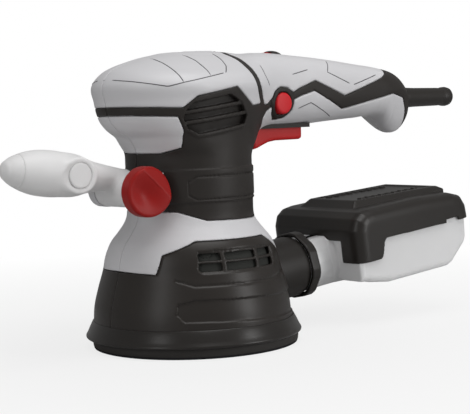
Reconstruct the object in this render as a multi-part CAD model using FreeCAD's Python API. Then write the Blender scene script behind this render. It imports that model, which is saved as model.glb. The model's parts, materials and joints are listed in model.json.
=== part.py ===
import FreeCAD, Part
import math
import os

# Random-orbit sander-polisher: a vertical motor barrel over a 125 mm pad, a rear D handle, a front
# side handle on a clamp knob, and a dust box on a sloping outlet.  Millimetres.  +X runs to the rear
# handle, -Y is the left side, +Z is up.  The origin is on the motor axis at the pad's working face.

V = FreeCAD.Vector

# ---- driving dimensions -------------------------------------------------------------------------
CLEAR = 0.3            # gap between pieces that move past each other
FIT = 0.05             # radial clearance of a running fit
WALL = 2.6             # moulded housing wall
SKIN = 1.4             # soft grip skin let into the housing

PAD_D = 125.0
HOOK_T = 1.4
FOAM_T = 8.0
PLATE_T = 4.0
ORBIT = 1.25           # eccentric offset: half of a 2.5 mm orbit
DUST_HOLES = 8
DUST_PCD = 65.0
DUST_R = 4.5

RING_LIP_Z = 6.0       # brake ring lip above the floor
RING_WALL = 1.5
SKIRT_Z = 16.5         # lower edge of the skirt
SKIRT_R = 60.5
CONE_Z = 47.5          # border between the black skirt and the grey cone
CONE_R = 53.6
BARREL_R = 38.0
BARREL_Z = 78.0        # lower edge of the barrel
BAND_Z = (87.5, 106.5) # raised grip band on the barrel
BAND_T = 0.8
HEAD_FRONT = 58.5
HEAD_HALF = 42.0
HEAD_REAR = 52.0
HEAD_TOP = 176.0
HEAD_TALL = 59.0       # from the chin, where the head starts to swell, to its top
BELT_DROP, BELT_W = 32.0, 4.5

HANDLE_END = 185.0
HANDLE_HALF = 19.5
GRIP_TALL = 43.7       # from the head's top down to the underside of the grip

SHAFT_R = 5.0
BEARING_R, BEARING_W = 13.0, 8.0
TOP_BEARING_R, TOP_BEARING_W, TOP_SHAFT_R = 11.0, 7.0, 4.0
STATOR_SEAT = 4.4      # ring seats between the barrel's wall and the stator
STATOR_T, STATOR_Z = 12.9, (80.0, 114.0)
AIR_GAP = 0.6
COMMUTATOR_R = 11.0
FAN_GAP = 10.0         # between the fan and the inside of the cone

PORT_TILT = math.radians(6.5)
PORT_FOOT = V(55.0, 0.0, 36.0)   # a point on the outlet's axis
PORT_R = 19.4
PORT_END = 25.5
BOX_FRONT, BOX_REAR = 47.0, 151.0
BOX_HALF = 42.0
BOX_WALL = 2.0
LID_EDGE, LID_TOP = 10.5, 31.0
BIN_FLOOR = -20.0

KNOB_REACH, KNOB_Z = 11.2, 95.5     # the clamp bolt stands this far in front of the barrel
KNOB_R, KNOB_T = 14.6, 11.0
EYE_R, EYE_HALF = 9.9, 14.0
LUG_T = 6.0
STUD_R = 4.0
SIDE_TILT = math.radians(6.9)
SIDE_RISE = 6.8         # the grip's axis passes above the clamp bolt
SIDE_LEN = 79.0
SIDE_R = 13.2

TRIGGER_X = (44.5, 85.0)
TRIGGER_HALF = 9.0
TRIGGER_TALL = 8.6     # how far the finger face hangs below the seal
TRIGGER_GAP = 3.0      # travel between the trigger's top and the switch
PIN_R = 2.0
SWITCH_X, SWITCH_HALF = (60.0, 92.0), 8.0
SWITCH_DROP, SWITCH_TALL = 25.0, 12.0
SEAL_DROP = 3.7        # the trigger's seal lies this far below the grip's underside
BUTTON_X, BUTTON_RISE = 58.8, 4.3
BUTTON_R = 6.8
DIAL_X, DIAL_DROP, DIAL_R, DIAL_W = 62.0, 11.4, 10.8, 7.0
SLEEVE_R, SLEEVE_LEN, SLEEVE_RISE = 6.8, 45.5, 12.2
SLEEVE_NECK = 5.2
CORD_R = 3.6

# ---- sizes that follow ---------------------------------------------------------------------------
CHIN_Z = HEAD_TOP - HEAD_TALL
BELT_Z = (HEAD_TOP - BELT_DROP - BELT_W, HEAD_TOP - BELT_DROP)
GRIP_BOTTOM = HEAD_TOP - GRIP_TALL
SEAL_Z = GRIP_BOTTOM - SEAL_DROP
SWITCH_Z = (HEAD_TOP - SWITCH_DROP - SWITCH_TALL, HEAD_TOP - SWITCH_DROP)
TRIGGER_LOW = SEAL_Z - TRIGGER_TALL
TRIGGER_TOP = SWITCH_Z[0] - TRIGGER_GAP
TRIGGER_PIVOT = (TRIGGER_X[0] + 5.0, TRIGGER_TOP - 2.4)
BUTTON_AT = (BUTTON_X, SWITCH_Z[0] + BUTTON_RISE)
DIAL_AT = (DIAL_X, HEAD_TOP - DIAL_DROP)
SLEEVE_Z = GRIP_BOTTOM + SLEEVE_RISE
STATOR_R = BARREL_R - WALL - STATOR_SEAT
ARMATURE_R = STATOR_R - STATOR_T - AIR_GAP
FAN_R = CONE_R - WALL - FAN_GAP
KNOB_AT = V(-BARREL_R - KNOB_REACH, 0, KNOB_Z)
PLATE_R = PAD_D / 2 - 4.0
PAD_BEARING_Z = HOOK_T + FOAM_T + PLATE_T + 5.6
SHAFT_FOOT = PAD_BEARING_Z + BEARING_W + 3.0
HUB_R = BEARING_R + ORBIT + 4.5
BEARING_Z = CONE_Z + 16.5
TOP_BEARING_Z = 141.0
BRUSH_Z = STATOR_Z[1] + 6.8
BRUSH_HALF = 3.0
BOLT_R, BOLT_HEAD_R = 3.0, 5.2
STEM_R = 2.5
BUTTON_FACE = -23.0
SPRING_X = 78.0
CLAMP_X, CLAMP_Z = HANDLE_END - 15.0, SLEEVE_Z - 5.5
PORT_BORE = PORT_R - 2.2
SPIGOT_BORE = PORT_BORE - 1.6
RING_END = PORT_END + 6.3
BIN_WALL = 1.8
HOOD_HALF = PORT_R + 2.6
PANEL_HALF = 19.0
TAB_EDGE = LID_EDGE - 11.5
BOSS_R, BOSS_HALF, PLUG_R, PLUG_T = 10.3, 12.6, 7.3, 1.6
SIDE_ROOT = KNOB_AT + V(0, 0, SIDE_RISE)
BOSS_AT = SIDE_ROOT + V(-math.cos(SIDE_TILT), 0, math.sin(SIDE_TILT)) * 35.0


# ---- small helpers ------------------------------------------------------------------------------
def cylinder(r, z0, z1, x=0.0, y=0.0):
    return Part.makeCylinder(r, z1 - z0, V(x, y, z0))


def tube(r_out, r_in, z0, z1, x=0.0):
    return cylinder(r_out, z0, z1, x).cut(cylinder(r_in, z0 - 1, z1 + 1, x))


def rod(start, end, r):
    way = end - start
    return Part.makeCylinder(r, way.Length, start, way)


def block(x0, x1, y0, y1, z0, z1):
    return Part.makeBox(x1 - x0, y1 - y0, z1 - z0, V(x0, y0, z0))


def prism(outline, y0, y1):
    """A side-view outline of (x, z) points, pushed from y0 to y1."""
    points = [V(x, y0, z) for x, z in outline]
    face = Part.Face(Part.makePolygon(points + points[:1]))
    return face.extrude(V(0, y1 - y0, 0))


def turned(profile, axis=V(0, 0, 1), at=V(0, 0, 0)):
    """A solid of revolution from (radius, height) points about the Z axis, then set on its own axis."""
    points = [V(r, 0, z) for r, z in profile]
    face = Part.Face(Part.makePolygon(points + points[:1]))
    solid = face.revolve(V(0, 0, 0), V(0, 0, 1), 360)
    solid.Placement = FreeCAD.Placement(at, FreeCAD.Rotation(V(0, 0, 1), axis))
    return solid


def closed_spline(points):
    curve = Part.BSplineCurve()
    curve.interpolate(points, PeriodicFlag=True)
    return Part.Wire(curve.toShape())


def fuse(*solids):
    return solids[0].multiFuse(list(solids[1:])).removeSplitter() if len(solids) > 1 else solids[0]


def left_half(solid):
    return solid.common(block(-400, 400, -200, 0, -50, 400))


def on_port(solid):
    """Set a solid drawn with the outlet's axis along +X on the sloping outlet."""
    moved = solid.copy()
    turn = FreeCAD.Rotation(V(0, 1, 0), -math.degrees(PORT_TILT))
    moved.Placement = FreeCAD.Placement(PORT_FOOT, turn).multiply(moved.Placement)
    return moved


def save(name, shape):
    shape.exportStep("parts/" + name + ".step")


# ---- the housing's outer form, and the same form set in by a wall ---------------------------------
def head_section(z, front, half, rear, centre, inset):
    """An egg in plan: a round nose forwards of the motor axis, a longer taper to the handle."""
    points = []
    for i in range(24):
        a = 2 * math.pi * i / 24
        reach = rear - centre if math.cos(a) > 0 else centre + front
        points.append(V(centre + (reach - inset) * math.cos(a), (half - inset) * math.sin(a), z))
    return closed_spline(points)


def head_form(inset=0.0):
    nose, wide, back, neck = HEAD_FRONT, HEAD_HALF, HEAD_REAR, BARREL_R
    swell = [(CHIN_Z - 3, neck - 5, neck - 5, neck - 4, -2),
             (CHIN_Z + 5, neck + 2.2, neck + 0.4, neck + 8, -11),
             (CHIN_Z + 9, neck + 5, neck + 0.4, neck + 10, -12),
             (CHIN_Z + 13, neck + 11.5, neck + 1, neck + 11.5, -12),
             (CHIN_Z + 17, nose - 4.7, wide - 2.2, back - 1, -12),
             (HEAD_TOP - 36, nose - 1.5, wide - 1, back, -12),
             (HEAD_TOP - 29, nose, wide, back, -12), (HEAD_TOP - 19, nose + 1.2, wide, back - 0.5, -12),
             (HEAD_TOP - 14, nose - 2, wide - 3.8, back - 3, -11),
             (HEAD_TOP - 10, nose - 7, wide - 10.5, back - 6, -9),
             (HEAD_TOP - 6, nose - 18, wide - 18, back - 12, -5),
             (HEAD_TOP - 2.3, nose - 33, wide - 27, back - 19, 0),
             (HEAD_TOP - 0.3, nose - 48, wide - 34, back - 26, 6)]
    base = swell[0][0]
    scale = (HEAD_TOP - inset - base) / (HEAD_TOP - base)
    wires = [head_section(base + (z - base) * scale, *sizes, inset) for z, *sizes in swell]
    return Part.makeLoft(wires, True, True)


def handle_section(x, top, low, half, inset):
    middle, tall = (top + low) / 2, (top - low) / 2 - inset
    points = []
    for i in range(20):
        a = 2 * math.pi * i / 20
        c, s = math.cos(a), math.sin(a)
        points.append(V(x, (half - inset) * math.copysign(abs(c) ** 0.8, c),
                        middle + tall * math.copysign(abs(s) ** 0.8, s)))
    return closed_spline(points)


def handle_form(inset=0.0):
    end, top, low, wide = HANDLE_END, HEAD_TOP, GRIP_BOTTOM, HANDLE_HALF
    spine = [(18.0, top - 0.4, low - 2.3, wide + 8), (47.0, top - 0.6, SEAL_Z, wide + 3.5),
             (84.0, top - 2.8, SEAL_Z + 0.6, wide + 0.8), (112.0, top - 5.6, low - 1.2, wide),
             (134.0, top - 8.4, low, wide - 0.5), (end - 34, top - 10.6, low + 0.2, wide - 1.0),
             (end - 29, top - 11.6, low - 2.6, wide - 1.2), (end - 22, top - 12.8, low - 8.6, wide - 2.4),
             (end - 14, top - 14.6, low - 10.8, wide - 4.5), (end - 9, top - 16.4, low - 9.6, wide - 6.5),
             (end - 4, top - 19.4, low - 5.4, wide - 9), (end - 1.2, top - 22.2, low - 1.5, wide - 11),
             (end - inset, top - 24, low + 0.8, wide - 12.5)]
    return Part.makeLoft([handle_section(x, t, b, h, inset) for x, t, b, h in spine], True, True)


def skirt_profile(inset=0.0, low=SKIRT_Z):
    """Radius and height from the lip of the skirt up into the barrel."""
    return [(SKIRT_R - inset, low), (SKIRT_R - 0.6 - inset, SKIRT_Z + 8.5),
            (SKIRT_R - 3.6 - inset, SKIRT_Z + 20),
            (CONE_R - inset, CONE_Z), (CONE_R - 2.6 - inset, CONE_Z + 10),
            (CONE_R - 5.6 - inset, CONE_Z + 16),
            (BARREL_R + 5.2 - inset, BARREL_Z - 9), (BARREL_R + 1.4 - inset, BARREL_Z - 3.5),
            (BARREL_R - inset, BARREL_Z + 2),
            (BARREL_R - inset, CHIN_Z + 4)]


def lower_form(inset=0.0, low=SKIRT_Z):
    profile = skirt_profile(inset, low)
    return turned([(0, low)] + profile + [(0, CHIN_Z + 4)])


def housing_form(inset=0.0, low=SKIRT_Z):
    return fuse(lower_form(inset, low), head_form(inset), handle_form(inset))


# ---- regions of the surface ----------------------------------------------------------------------
def grip_region():
    """Side view of the black soft skin: barrel, belt, intake field, handle stripe and heel."""
    reach, belt_z, chin, foot = 250, BELT_Z[1], CHIN_Z, BARREL_Z
    belt = block(-reach, -25, -60, 60, *BELT_Z)
    body = prism([(-30, belt_z - 1), (-27, belt_z - 0.9), (-21.4, belt_z + 5.1), (7.5, belt_z + 9.9),
                  (24.4, belt_z - 1.5), (35, belt_z - 0.5), (40, belt_z - 16.8), (43, foot - 1),
                  (-15, foot + 1.6), (-23, foot + 6), (-60, foot + 6), (-60, chin - 0.7), (-32, chin - 0.7),
                  (-25, chin + 3.4), (-27.5, chin + 12.6), (-32, BELT_Z[0])], -60, 60)
    bx, bz = BUTTON_AT
    link = prism([(33, belt_z + 1), (44, belt_z - 0.4), (bx - 8, bz + 3.2), (bx, bz + 9), (74, bz + 9.2),
                  (88, bz + 13.7), (113.4, bz + 3.7), (147, bz + 14.1), (151, bz + 17.7), (164, bz + 28.7),
                  (205, bz + 28.7), (205, bz - 15.3), (178, bz - 15.3), (176, bz + 2.1), (158, bz + 4.3),
                  (112.7, bz - 4.7), (86.8, bz + 7.4), (75, bz + 4.5), (bx + 4, bz - 9), (bx - 3, bz - 9.4),
                  (bx - 8, bz - 2.5), (44, bz - 4), (38, bz - 13.3)], -60, 60)
    top = HEAD_TOP
    stripe = prism([(31.2, top + 4), (34.6, top + 4), (37.4, top - 12), (39.2, top - 22), (40.2, top - 34),
                    (36.4, top - 34), (35.8, top - 22), (34.2, top - 12)], -60, 60)
    return belt.multiFuse([body, link, stripe])


def skirt_region():
    """The black lower skirt, with its raised rear field around the vents."""
    low = block(-90, 90, -90, 90, 0, CONE_Z)
    field = prism([(-45.4, CONE_Z - 1), (-41.4, CONE_Z + 10.6), (-25.5, CONE_Z + 17.9),
                   (22.5, CONE_Z + 17.9),
                   (35, CONE_Z + 10.6), (90, CONE_Z + 10.6), (90, CONE_Z - 1)], -90, 90)
    return low.fuse(field)


# ---- fixed pieces of the housing ------------------------------------------------------------------
def vent_slots():
    rows = ((CONE_Z + 1.8, CONE_Z + 5.8), (CONE_Z + 7.2, CONE_Z + 10.8))
    columns = ((-27.5, -14.6), (-11.6, 9.2), (12.2, 24.6))
    return [block(x0, x1, -80, 0, z0, z1) for z0, z1 in rows for x0, x1 in columns]


def intake_slots():
    slots = []
    for k in range(3):
        low = BELT_Z[0] - 10.0 + 5.0 * k
        front, rear = -20.0 - k, 8.0 + 1.5 * k
        slots.append(prism([(front, low), (rear, low + 6.5), (rear, low + 9.3), (front, low + 2.8)], -60,
                           0))
    return slots


def trigger_slot():
    half = TRIGGER_HALF + CLEAR
    swing = 1.2     # the rear end also moves back a little as the trigger is pressed
    return block(TRIGGER_X[0] - swing, TRIGGER_X[1] + swing, -half, half, SEAL_Z - 30, SEAL_Z + 8)


def dial_slot():
    x, z = DIAL_AT
    half = DIAL_W / 2 + CLEAR
    return block(x - DIAL_R, x + DIAL_R, -half, half, z, HEAD_TOP + 5)


def button_bore():
    x, z = BUTTON_AT
    return Part.makeCylinder(BUTTON_R + CLEAR, 40, V(x, -40, z), V(0, 1, 0))


def port_hole():
    return on_port(Part.makeCylinder(PORT_R, 90, V(-25, 0, 0), V(1, 0, 0)))


def sleeve_hole():
    return Part.makeCylinder(SLEEVE_NECK, 30, V(HANDLE_END - 8, 0, SLEEVE_Z), V(1, 0, 0))


def pivot_bore(r):
    x, z = TRIGGER_PIVOT
    return Part.makeCylinder(r, 80, V(x, -40, z), V(0, 1, 0))


def seats():
    """Rings, cradles and posts moulded inside the shell that carry the motor, switch and cord clamp."""
    rings = [tube(BARREL_R, STATOR_R, z, z + 4) for z in (STATOR_Z[0] + 3, STATOR_Z[1] - 7)]
    z0, z1 = TOP_BEARING_Z, TOP_BEARING_Z + TOP_BEARING_W
    cup = tube(TOP_BEARING_R + 5, TOP_BEARING_R, z0, z1)
    webs = [block(-HEAD_FRONT, -TOP_BEARING_R - 3, -4, 0, z0, z1),
            block(-3, 3, -HEAD_HALF, -TOP_BEARING_R - 3, z0, z1)]
    cradle = [block(x, x + 4, -30, -SWITCH_HALF, SWITCH_Z[0] + 2,
                    SWITCH_Z[1] - 2) for x in (SWITCH_X[0] + 14, SWITCH_X[1] - 6)]
    px, pz = TRIGGER_PIVOT
    ear = block(px - 4, px + 4, -30, -TRIGGER_HALF - CLEAR, pz - 6, pz + 4)
    post = block(CLAMP_X - 4, CLAMP_X + 4, -10, -5, GRIP_BOTTOM - 20, CLAMP_Z)
    solids = rings + [cup] + webs + cradle + [ear, post]
    return [left_half(s) for s in solids]


def build_housing_left():
    """The left half of the shell, its soft grip skin and its black skirt; the right is its mirror."""
    below = SKIRT_Z - 5
    outer, inner = left_half(housing_form()), left_half(housing_form(WALL, below))
    under_skin = left_half(housing_form(SKIN, below))
    reach = left_half(housing_form(WALL - 0.6, below))
    shell = outer.cut(inner)
    for opening in [trigger_slot(), dial_slot(), port_hole(),
                    sleeve_hole()] + vent_slots() + intake_slots():
        shell = shell.cut(opening)
    grip = shell.common(grip_region()).cut(under_skin)
    skirt = shell.common(skirt_region())
    low = block(-90, 90, -90, 90, 0, CONE_Z - 1.5)
    skirt = skirt.common(low).fuse(skirt.cut(low).cut(under_skin))
    core = shell.cut(grip).cut(skirt)
    for rib in seats():
        core = core.fuse(rib.common(reach))
    core = core.cut(pivot_bore(PIN_R + FIT)).cut(trigger_slot())
    band = left_half(tube(BARREL_R + BAND_T, BARREL_R - 0.4, *BAND_Z))
    core = core.cut(band)
    core = max(core.Solids, key=lambda solid: solid.Volume)
    return core, grip.fuse(band), skirt


def split_pieces():
    """Left pieces take the lock button's bore; the right ones don't."""
    pieces = {}
    for name, left in zip(("housing", "grip", "skirt"), build_housing_left()):
        pieces[name + "_right"] = left.mirror(V(0, 0, 0), V(0, 1, 0))
        pieces[name + "_left"] = left.cut(button_bore()) if name != "skirt" else left
    return pieces


def brake_ring():
    """Rubber skirt lip: it flares over the pad's edge and plugs into the skirt."""
    pad_top = HOOK_T + FOAM_T + PLATE_T
    lip = PAD_D / 2 + ORBIT + CLEAR
    plate = PLATE_R + ORBIT + CLEAR
    ring = turned([(SKIRT_R, SKIRT_Z), (SKIRT_R + 1.7, SKIRT_Z - 5),
                   (lip + RING_WALL - 0.2, RING_LIP_Z + 2), (lip + RING_WALL, RING_LIP_Z),
                   (lip, RING_LIP_Z), (lip - 0.2, RING_LIP_Z + 2), (plate + 0.8, RING_LIP_Z + 5.4),
                   (plate, pad_top + CLEAR),
                   (SKIRT_R - 5.5, pad_top + CLEAR), (SKIRT_R - 5.5, SKIRT_Z + 5),
                   (SKIRT_R - WALL - 0.6, SKIRT_Z + 5),
                   (SKIRT_R - WALL - 0.6, SKIRT_Z)])
    return ring.cut(on_port(Part.makeCylinder(PORT_R + CLEAR, 40, V(-10, 0, 0), V(1, 0, 0))))


def dust_outlet():
    pipe = Part.makeCylinder(PORT_R, PORT_END + 6, V(-6, 0, 0), V(1, 0, 0))
    pipe = pipe.cut(Part.makeCylinder(PORT_BORE, PORT_END + 10, V(-8, 0, 0), V(1, 0, 0)))
    return on_port(pipe)


def bearing_bracket():
    z0, z1 = BEARING_Z - 2, BEARING_Z + BEARING_W
    plate = lower_form(WALL + 0.05, SKIRT_Z).common(cylinder(60, z0, z0 + 4))
    body = plate.fuse(cylinder(BEARING_R + 4, z0, z1))
    body = body.cut(cylinder(BEARING_R, BEARING_Z, z1 + 1)).cut(cylinder(SHAFT_R + 3, z0 - 1, z1))
    for k in range(6):
        a = math.radians(60 * k + 30)
        body = body.cut(cylinder(6.5, z0 - 1, z0 + 5, 28 * math.cos(a), 28 * math.sin(a)))
    return body


def stator():
    return tube(STATOR_R, ARMATURE_R + AIR_GAP, *STATOR_Z)


def field_windings():
    coils = []
    for z0, z1 in ((STATOR_Z[0] - 4.5, STATOR_Z[0]), (STATOR_Z[1], STATOR_Z[1] + 4.5)):
        coil = tube(STATOR_R - 3, ARMATURE_R + 2, z0, z1)
        coils.append(coil.cut(block(-40, 40, -3, 3, z0 - 1, z1 + 1)))
    return Part.makeCompound([s for c in coils for s in c.Solids])


def ball_bearing(r_out, r_in, z, width, x=0.0):
    ring = tube(r_out, r_in, z, z + width, x)
    middle = (r_out + r_in) / 2
    groove = tube(middle + 1.6, middle - 1.6, z - 1, z + 0.5,
                  x).fuse(tube(middle + 1.6, middle - 1.6, z + width - 0.5, z + width + 1, x))
    return ring.cut(groove)


def brush_plate():
    plate = tube(BARREL_R - WALL - 0.05, 15.0, BRUSH_Z - 2, BRUSH_Z)
    for side in (1, -1):
        box = block(13, 35, -5, 5, BRUSH_Z, BRUSH_Z + 10).cut(block(12, 34, -BRUSH_HALF, BRUSH_HALF,
                                                                    BRUSH_Z + 2, BRUSH_Z + 8))
        plate = plate.fuse(box if side > 0 else box.mirror(V(0, 0, 0), V(1, 0, 0)))
    return plate


def mirrored_pair(solid, normal):
    return Part.makeCompound([solid, solid.mirror(V(0, 0, 0), normal)])


def brushes():
    half = BRUSH_HALF - FIT
    return mirrored_pair(block(COMMUTATOR_R + CLEAR, 22, -half, half, BRUSH_Z + 2, BRUSH_Z + 8), V(1, 0, 0))


def brush_springs():
    spring = rod(V(22, 0, BRUSH_Z + 5), V(34, 0, BRUSH_Z + 5),
                 2.5).cut(rod(V(21, 0, BRUSH_Z + 5), V(35, 0, BRUSH_Z + 5), 1.7))
    return mirrored_pair(spring, V(1, 0, 0))


def switch_body():
    body = block(*SWITCH_X, -SWITCH_HALF, SWITCH_HALF, *SWITCH_Z)
    x, z = BUTTON_AT
    return body.cut(Part.makeCylinder(STEM_R + CLEAR, 6, V(x, -SWITCH_HALF - 0.5, z), V(0, 1, 0)))


def speed_board():
    """Speed control board on the switch, with the ears and axle of the thumb wheel."""
    x, z = DIAL_AT
    top = SWITCH_Z[1]
    board = block(SWITCH_X[0] - 8, SWITCH_X[1] - 6, -13, 13, top, top + 1.6)
    gap = DIAL_W / 2 + CLEAR
    ears = block(x - 4, x + 4, -gap - 2, gap + 2, top + 1.6,
                 z + 4).cut(block(x - 5, x + 5, -gap, gap, top, z + 5))
    board = board.fuse(ears).fuse(rod(V(x, -gap - 2, z), V(x, gap + 2, z), PIN_R))
    return board.cut(rod(V(x, -gap, z), V(x, gap, z), DIAL_R + CLEAR).cut(rod(V(x, -gap, z), V(x, gap, z),
                                                                              PIN_R)))


def trigger_seal():
    """Soft lip around the trigger's slot, on the underside of the handle."""
    half = TRIGGER_HALF + 2.5
    lip = block(TRIGGER_X[0] - 3, TRIGGER_X[1] + 4, -half, half, SEAL_Z - 0.8, SEAL_Z + 2)
    return lip.cut(housing_form()).cut(trigger_slot())


def cord_sleeve():
    """Strain relief: flange inside the shell, tapered body, end bead, and an open bore for the cord."""
    profile = [(CORD_R, -7), (SLEEVE_R, -7), (SLEEVE_R, -WALL - 2), (SLEEVE_NECK, -WALL - 2),
               (SLEEVE_NECK, 0),
               (SLEEVE_R, 0), (SLEEVE_R, 4), (SLEEVE_R - 0.8, SLEEVE_LEN - 8),
               (SLEEVE_R - 0.1, SLEEVE_LEN - 6),
               (SLEEVE_R, SLEEVE_LEN - 3), (SLEEVE_R - 1.0, SLEEVE_LEN - 0.8),
               (SLEEVE_R - 2.0, SLEEVE_LEN), (CORD_R, SLEEVE_LEN)]
    return turned(profile, V(1, 0, 0), V(HANDLE_END, 0, SLEEVE_Z))


def cord_clamp():
    bar = block(CLAMP_X - 4, CLAMP_X + 4, -10, 10, CLAMP_Z, CLAMP_Z + 3)
    return bar.cut(rod(V(CLAMP_X - 5, 0, SLEEVE_Z), V(CLAMP_X + 5, 0, SLEEVE_Z), CORD_R))


def handle_bracket():
    """Two lugs on the front of the barrel that clamp the side handle's eye."""
    x, z = KNOB_AT.x, KNOB_AT.z
    reach = EYE_HALF + CLEAR + LUG_T
    body = block(x, -BARREL_R + 12, -reach, reach, z - EYE_R,
                 z + EYE_R).fuse(rod(V(x, -reach, z), V(x, reach, z), EYE_R))
    slot = block(x - 20, x + EYE_R + CLEAR, -EYE_HALF - CLEAR, EYE_HALF + CLEAR, z - 20, z + 20)
    body = body.cut(slot).cut(cylinder(BARREL_R + BAND_T, z - 30, z + 30))
    return body.cut(rod(V(x, -30, z), V(x, 30, z), STUD_R + FIT))


def clamp_nut():
    near = EYE_HALF + CLEAR + LUG_T
    hexagon = [V(KNOB_AT.x + 7.5 * math.cos(math.radians(60 * k)), near,
                 KNOB_AT.z + 7.5 * math.sin(math.radians(60 * k))) for k in range(6)]
    nut = Part.Face(Part.makePolygon(hexagon + hexagon[:1])).extrude(V(0, 5.5, 0))
    return nut.cut(rod(V(KNOB_AT.x, 0, KNOB_AT.z), V(KNOB_AT.x, 40, KNOB_AT.z), STUD_R + FIT))


# ---- motor rotor and pad -------------------------------------------------------------------------
def shaft():
    top = TOP_BEARING_Z + TOP_BEARING_W + 1
    return cylinder(SHAFT_R, SHAFT_FOOT, TOP_BEARING_Z - 1).fuse(cylinder(TOP_SHAFT_R, TOP_BEARING_Z - 1,
                                                                          top))


def armature():
    core = tube(ARMATURE_R, SHAFT_R, *STATOR_Z)
    slots = [block(ARMATURE_R - 2.2, ARMATURE_R + 1, -0.8, 0.8, STATOR_Z[0] - 1,
                   STATOR_Z[1] + 1) for _ in range(12)]
    for k, slot in enumerate(slots):
        slot.rotate(V(0, 0, 0), V(0, 0, 1), 30 * k)
    ends = tube(ARMATURE_R - 3, SHAFT_R, STATOR_Z[0] - 5, STATOR_Z[1] + 5)
    return core.cut(Part.makeCompound(slots)).fuse(ends)


def commutator():
    bars = tube(COMMUTATOR_R, SHAFT_R, BRUSH_Z - 1, BRUSH_Z + 11)
    slots = []
    for k in range(24):
        slot = block(COMMUTATOR_R - 0.8, COMMUTATOR_R + 1, -0.25, 0.25, BRUSH_Z, BRUSH_Z + 12)
        slot.rotate(V(0, 0, 0), V(0, 0, 1), 15 * k)
        slots.append(slot)
    return bars.cut(Part.makeCompound(slots))


def fan():
    """Double fan: lower blades blow dust to the outlet, upper blades cool the motor."""
    disc_z = SHAFT_FOOT + 14
    solid = cylinder(HUB_R, PAD_BEARING_Z - 0.5, disc_z + 9).fuse(cylinder(FAN_R, disc_z, disc_z + 2))
    for k in range(8):
        for z0, z1 in ((disc_z - 9, disc_z), (disc_z + 2, disc_z + 9)):
            blade = block(HUB_R - 1, FAN_R - 1, -1, 1, z0, z1)
            blade.rotate(V(0, 0, 0), V(0, 0, 1), 45 * k)
            solid = solid.fuse(blade)
    pocket = cylinder(BEARING_R, PAD_BEARING_Z - 1, PAD_BEARING_Z + BEARING_W, ORBIT)
    solid = solid.cut(pocket).cut(cylinder(SHAFT_R, SHAFT_FOOT, disc_z + 12))
    return solid.cut(cylinder(SHAFT_R + 1, PAD_BEARING_Z, SHAFT_FOOT + 0.01))


def counterweight():
    z0 = PAD_BEARING_Z + 2
    ring = tube(HUB_R + 14, HUB_R, z0, z0 + 9)
    return ring.common(block(-60, -6, -60, 60, 0, 60))


def pad_holes(r, z0, z1):
    spots = [math.radians(360 / DUST_HOLES * (k + 0.5)) for k in range(DUST_HOLES)]
    return [cylinder(r, z0, z1, ORBIT + DUST_PCD / 2 * math.cos(a),
                     DUST_PCD / 2 * math.sin(a)) for a in spots]


def pad_layer(profile, centre_r):
    solid = turned(profile, at=V(ORBIT, 0, 0))
    solid = solid.cut(cylinder(centre_r, -1, 20, ORBIT))
    return solid.cut(Part.makeCompound(pad_holes(DUST_R, -1, 20)))


def hook_face():
    r = PAD_D / 2
    return pad_layer([(0, 0), (r - 0.6, 0), (r - 0.2, HOOK_T), (0, HOOK_T)], BOLT_HEAD_R + 2)


def pad_foam():
    r, z0, z1 = PAD_D / 2, HOOK_T, HOOK_T + FOAM_T
    return pad_layer([(0, z0), (r - 0.2, z0), (r, z0 + 1.5), (r, RING_LIP_Z), (PLATE_R, z1), (0, z1)],
                     BOLT_HEAD_R + 2)


def pad_plate():
    z0 = HOOK_T + FOAM_T
    return pad_layer([(0, z0), (PLATE_R, z0), (PLATE_R - 0.5, z0 + PLATE_T), (0, z0 + PLATE_T)], BOLT_R)


def pad_hub():
    z0 = HOOK_T + FOAM_T + PLATE_T
    hub = cylinder(14, z0, PAD_BEARING_Z - 1.2, ORBIT).fuse(cylinder(SHAFT_R + 1.8, z0,
                                                                     PAD_BEARING_Z - CLEAR, ORBIT))
    hub = hub.fuse(cylinder(SHAFT_R - FIT, z0, PAD_BEARING_Z + BEARING_W - 0.5, ORBIT))
    return hub.cut(cylinder(BOLT_R, z0 - 1, PAD_BEARING_Z + BEARING_W - 2, ORBIT))


def pad_bolt():
    z0 = HOOK_T + FOAM_T
    bolt = cylinder(BOLT_HEAD_R, z0 - 3.6, z0, ORBIT).fuse(cylinder(BOLT_R, z0,
                                                                    PAD_BEARING_Z + BEARING_W - 2, ORBIT))
    socket = [V(ORBIT + 2.9 * math.cos(math.radians(60 * k)), 2.9 * math.sin(math.radians(60 * k)),
                z0 - 4) for k in range(6)]
    return bolt.cut(Part.Face(Part.makePolygon(socket + socket[:1])).extrude(V(0, 0, 2.6)))


# ---- controls ------------------------------------------------------------------------------------
def trigger():
    x0, x1 = TRIGGER_X
    low, seal = TRIGGER_LOW, SEAL_Z
    lever = prism([(x0, low - 5), (x0 + 6, low - 3.4), (x0 + 12, low - 1.2), (x0 + 20, low),
                   (x1 - 1.5, low + 0.4), (x1, low + 2),
                   (x1, seal - 0.6), (x1 - 0.5, TRIGGER_TOP - 3), (x0 + 9, TRIGGER_TOP),
                   (x0 + 1.5, TRIGGER_TOP), (x0 + 0.3, seal - 2)],
                  -TRIGGER_HALF, TRIGGER_HALF)
    px, pz = TRIGGER_PIVOT
    return lever.fuse(rod(V(px, -TRIGGER_HALF - 6, pz), V(px, TRIGGER_HALF + 6, pz), PIN_R))


def spring_tube(start, end, r):
    way = (end - start).normalize()
    return rod(start, end, r).cut(rod(start - way, end + way, r - 0.8))


def trigger_spring():
    return spring_tube(V(SPRING_X, 0, TRIGGER_TOP - 3.2), V(SPRING_X, 0, SWITCH_Z[0]), 3.2).cut(trigger())


def lock_button():
    x, z = BUTTON_AT
    cap = rod(V(x, BUTTON_FACE, z), V(x, BUTTON_FACE + 7, z), BUTTON_R)
    return cap.fuse(rod(V(x, BUTTON_FACE + 7, z), V(x, -SWITCH_HALF - 0.6, z), STEM_R))


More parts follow.
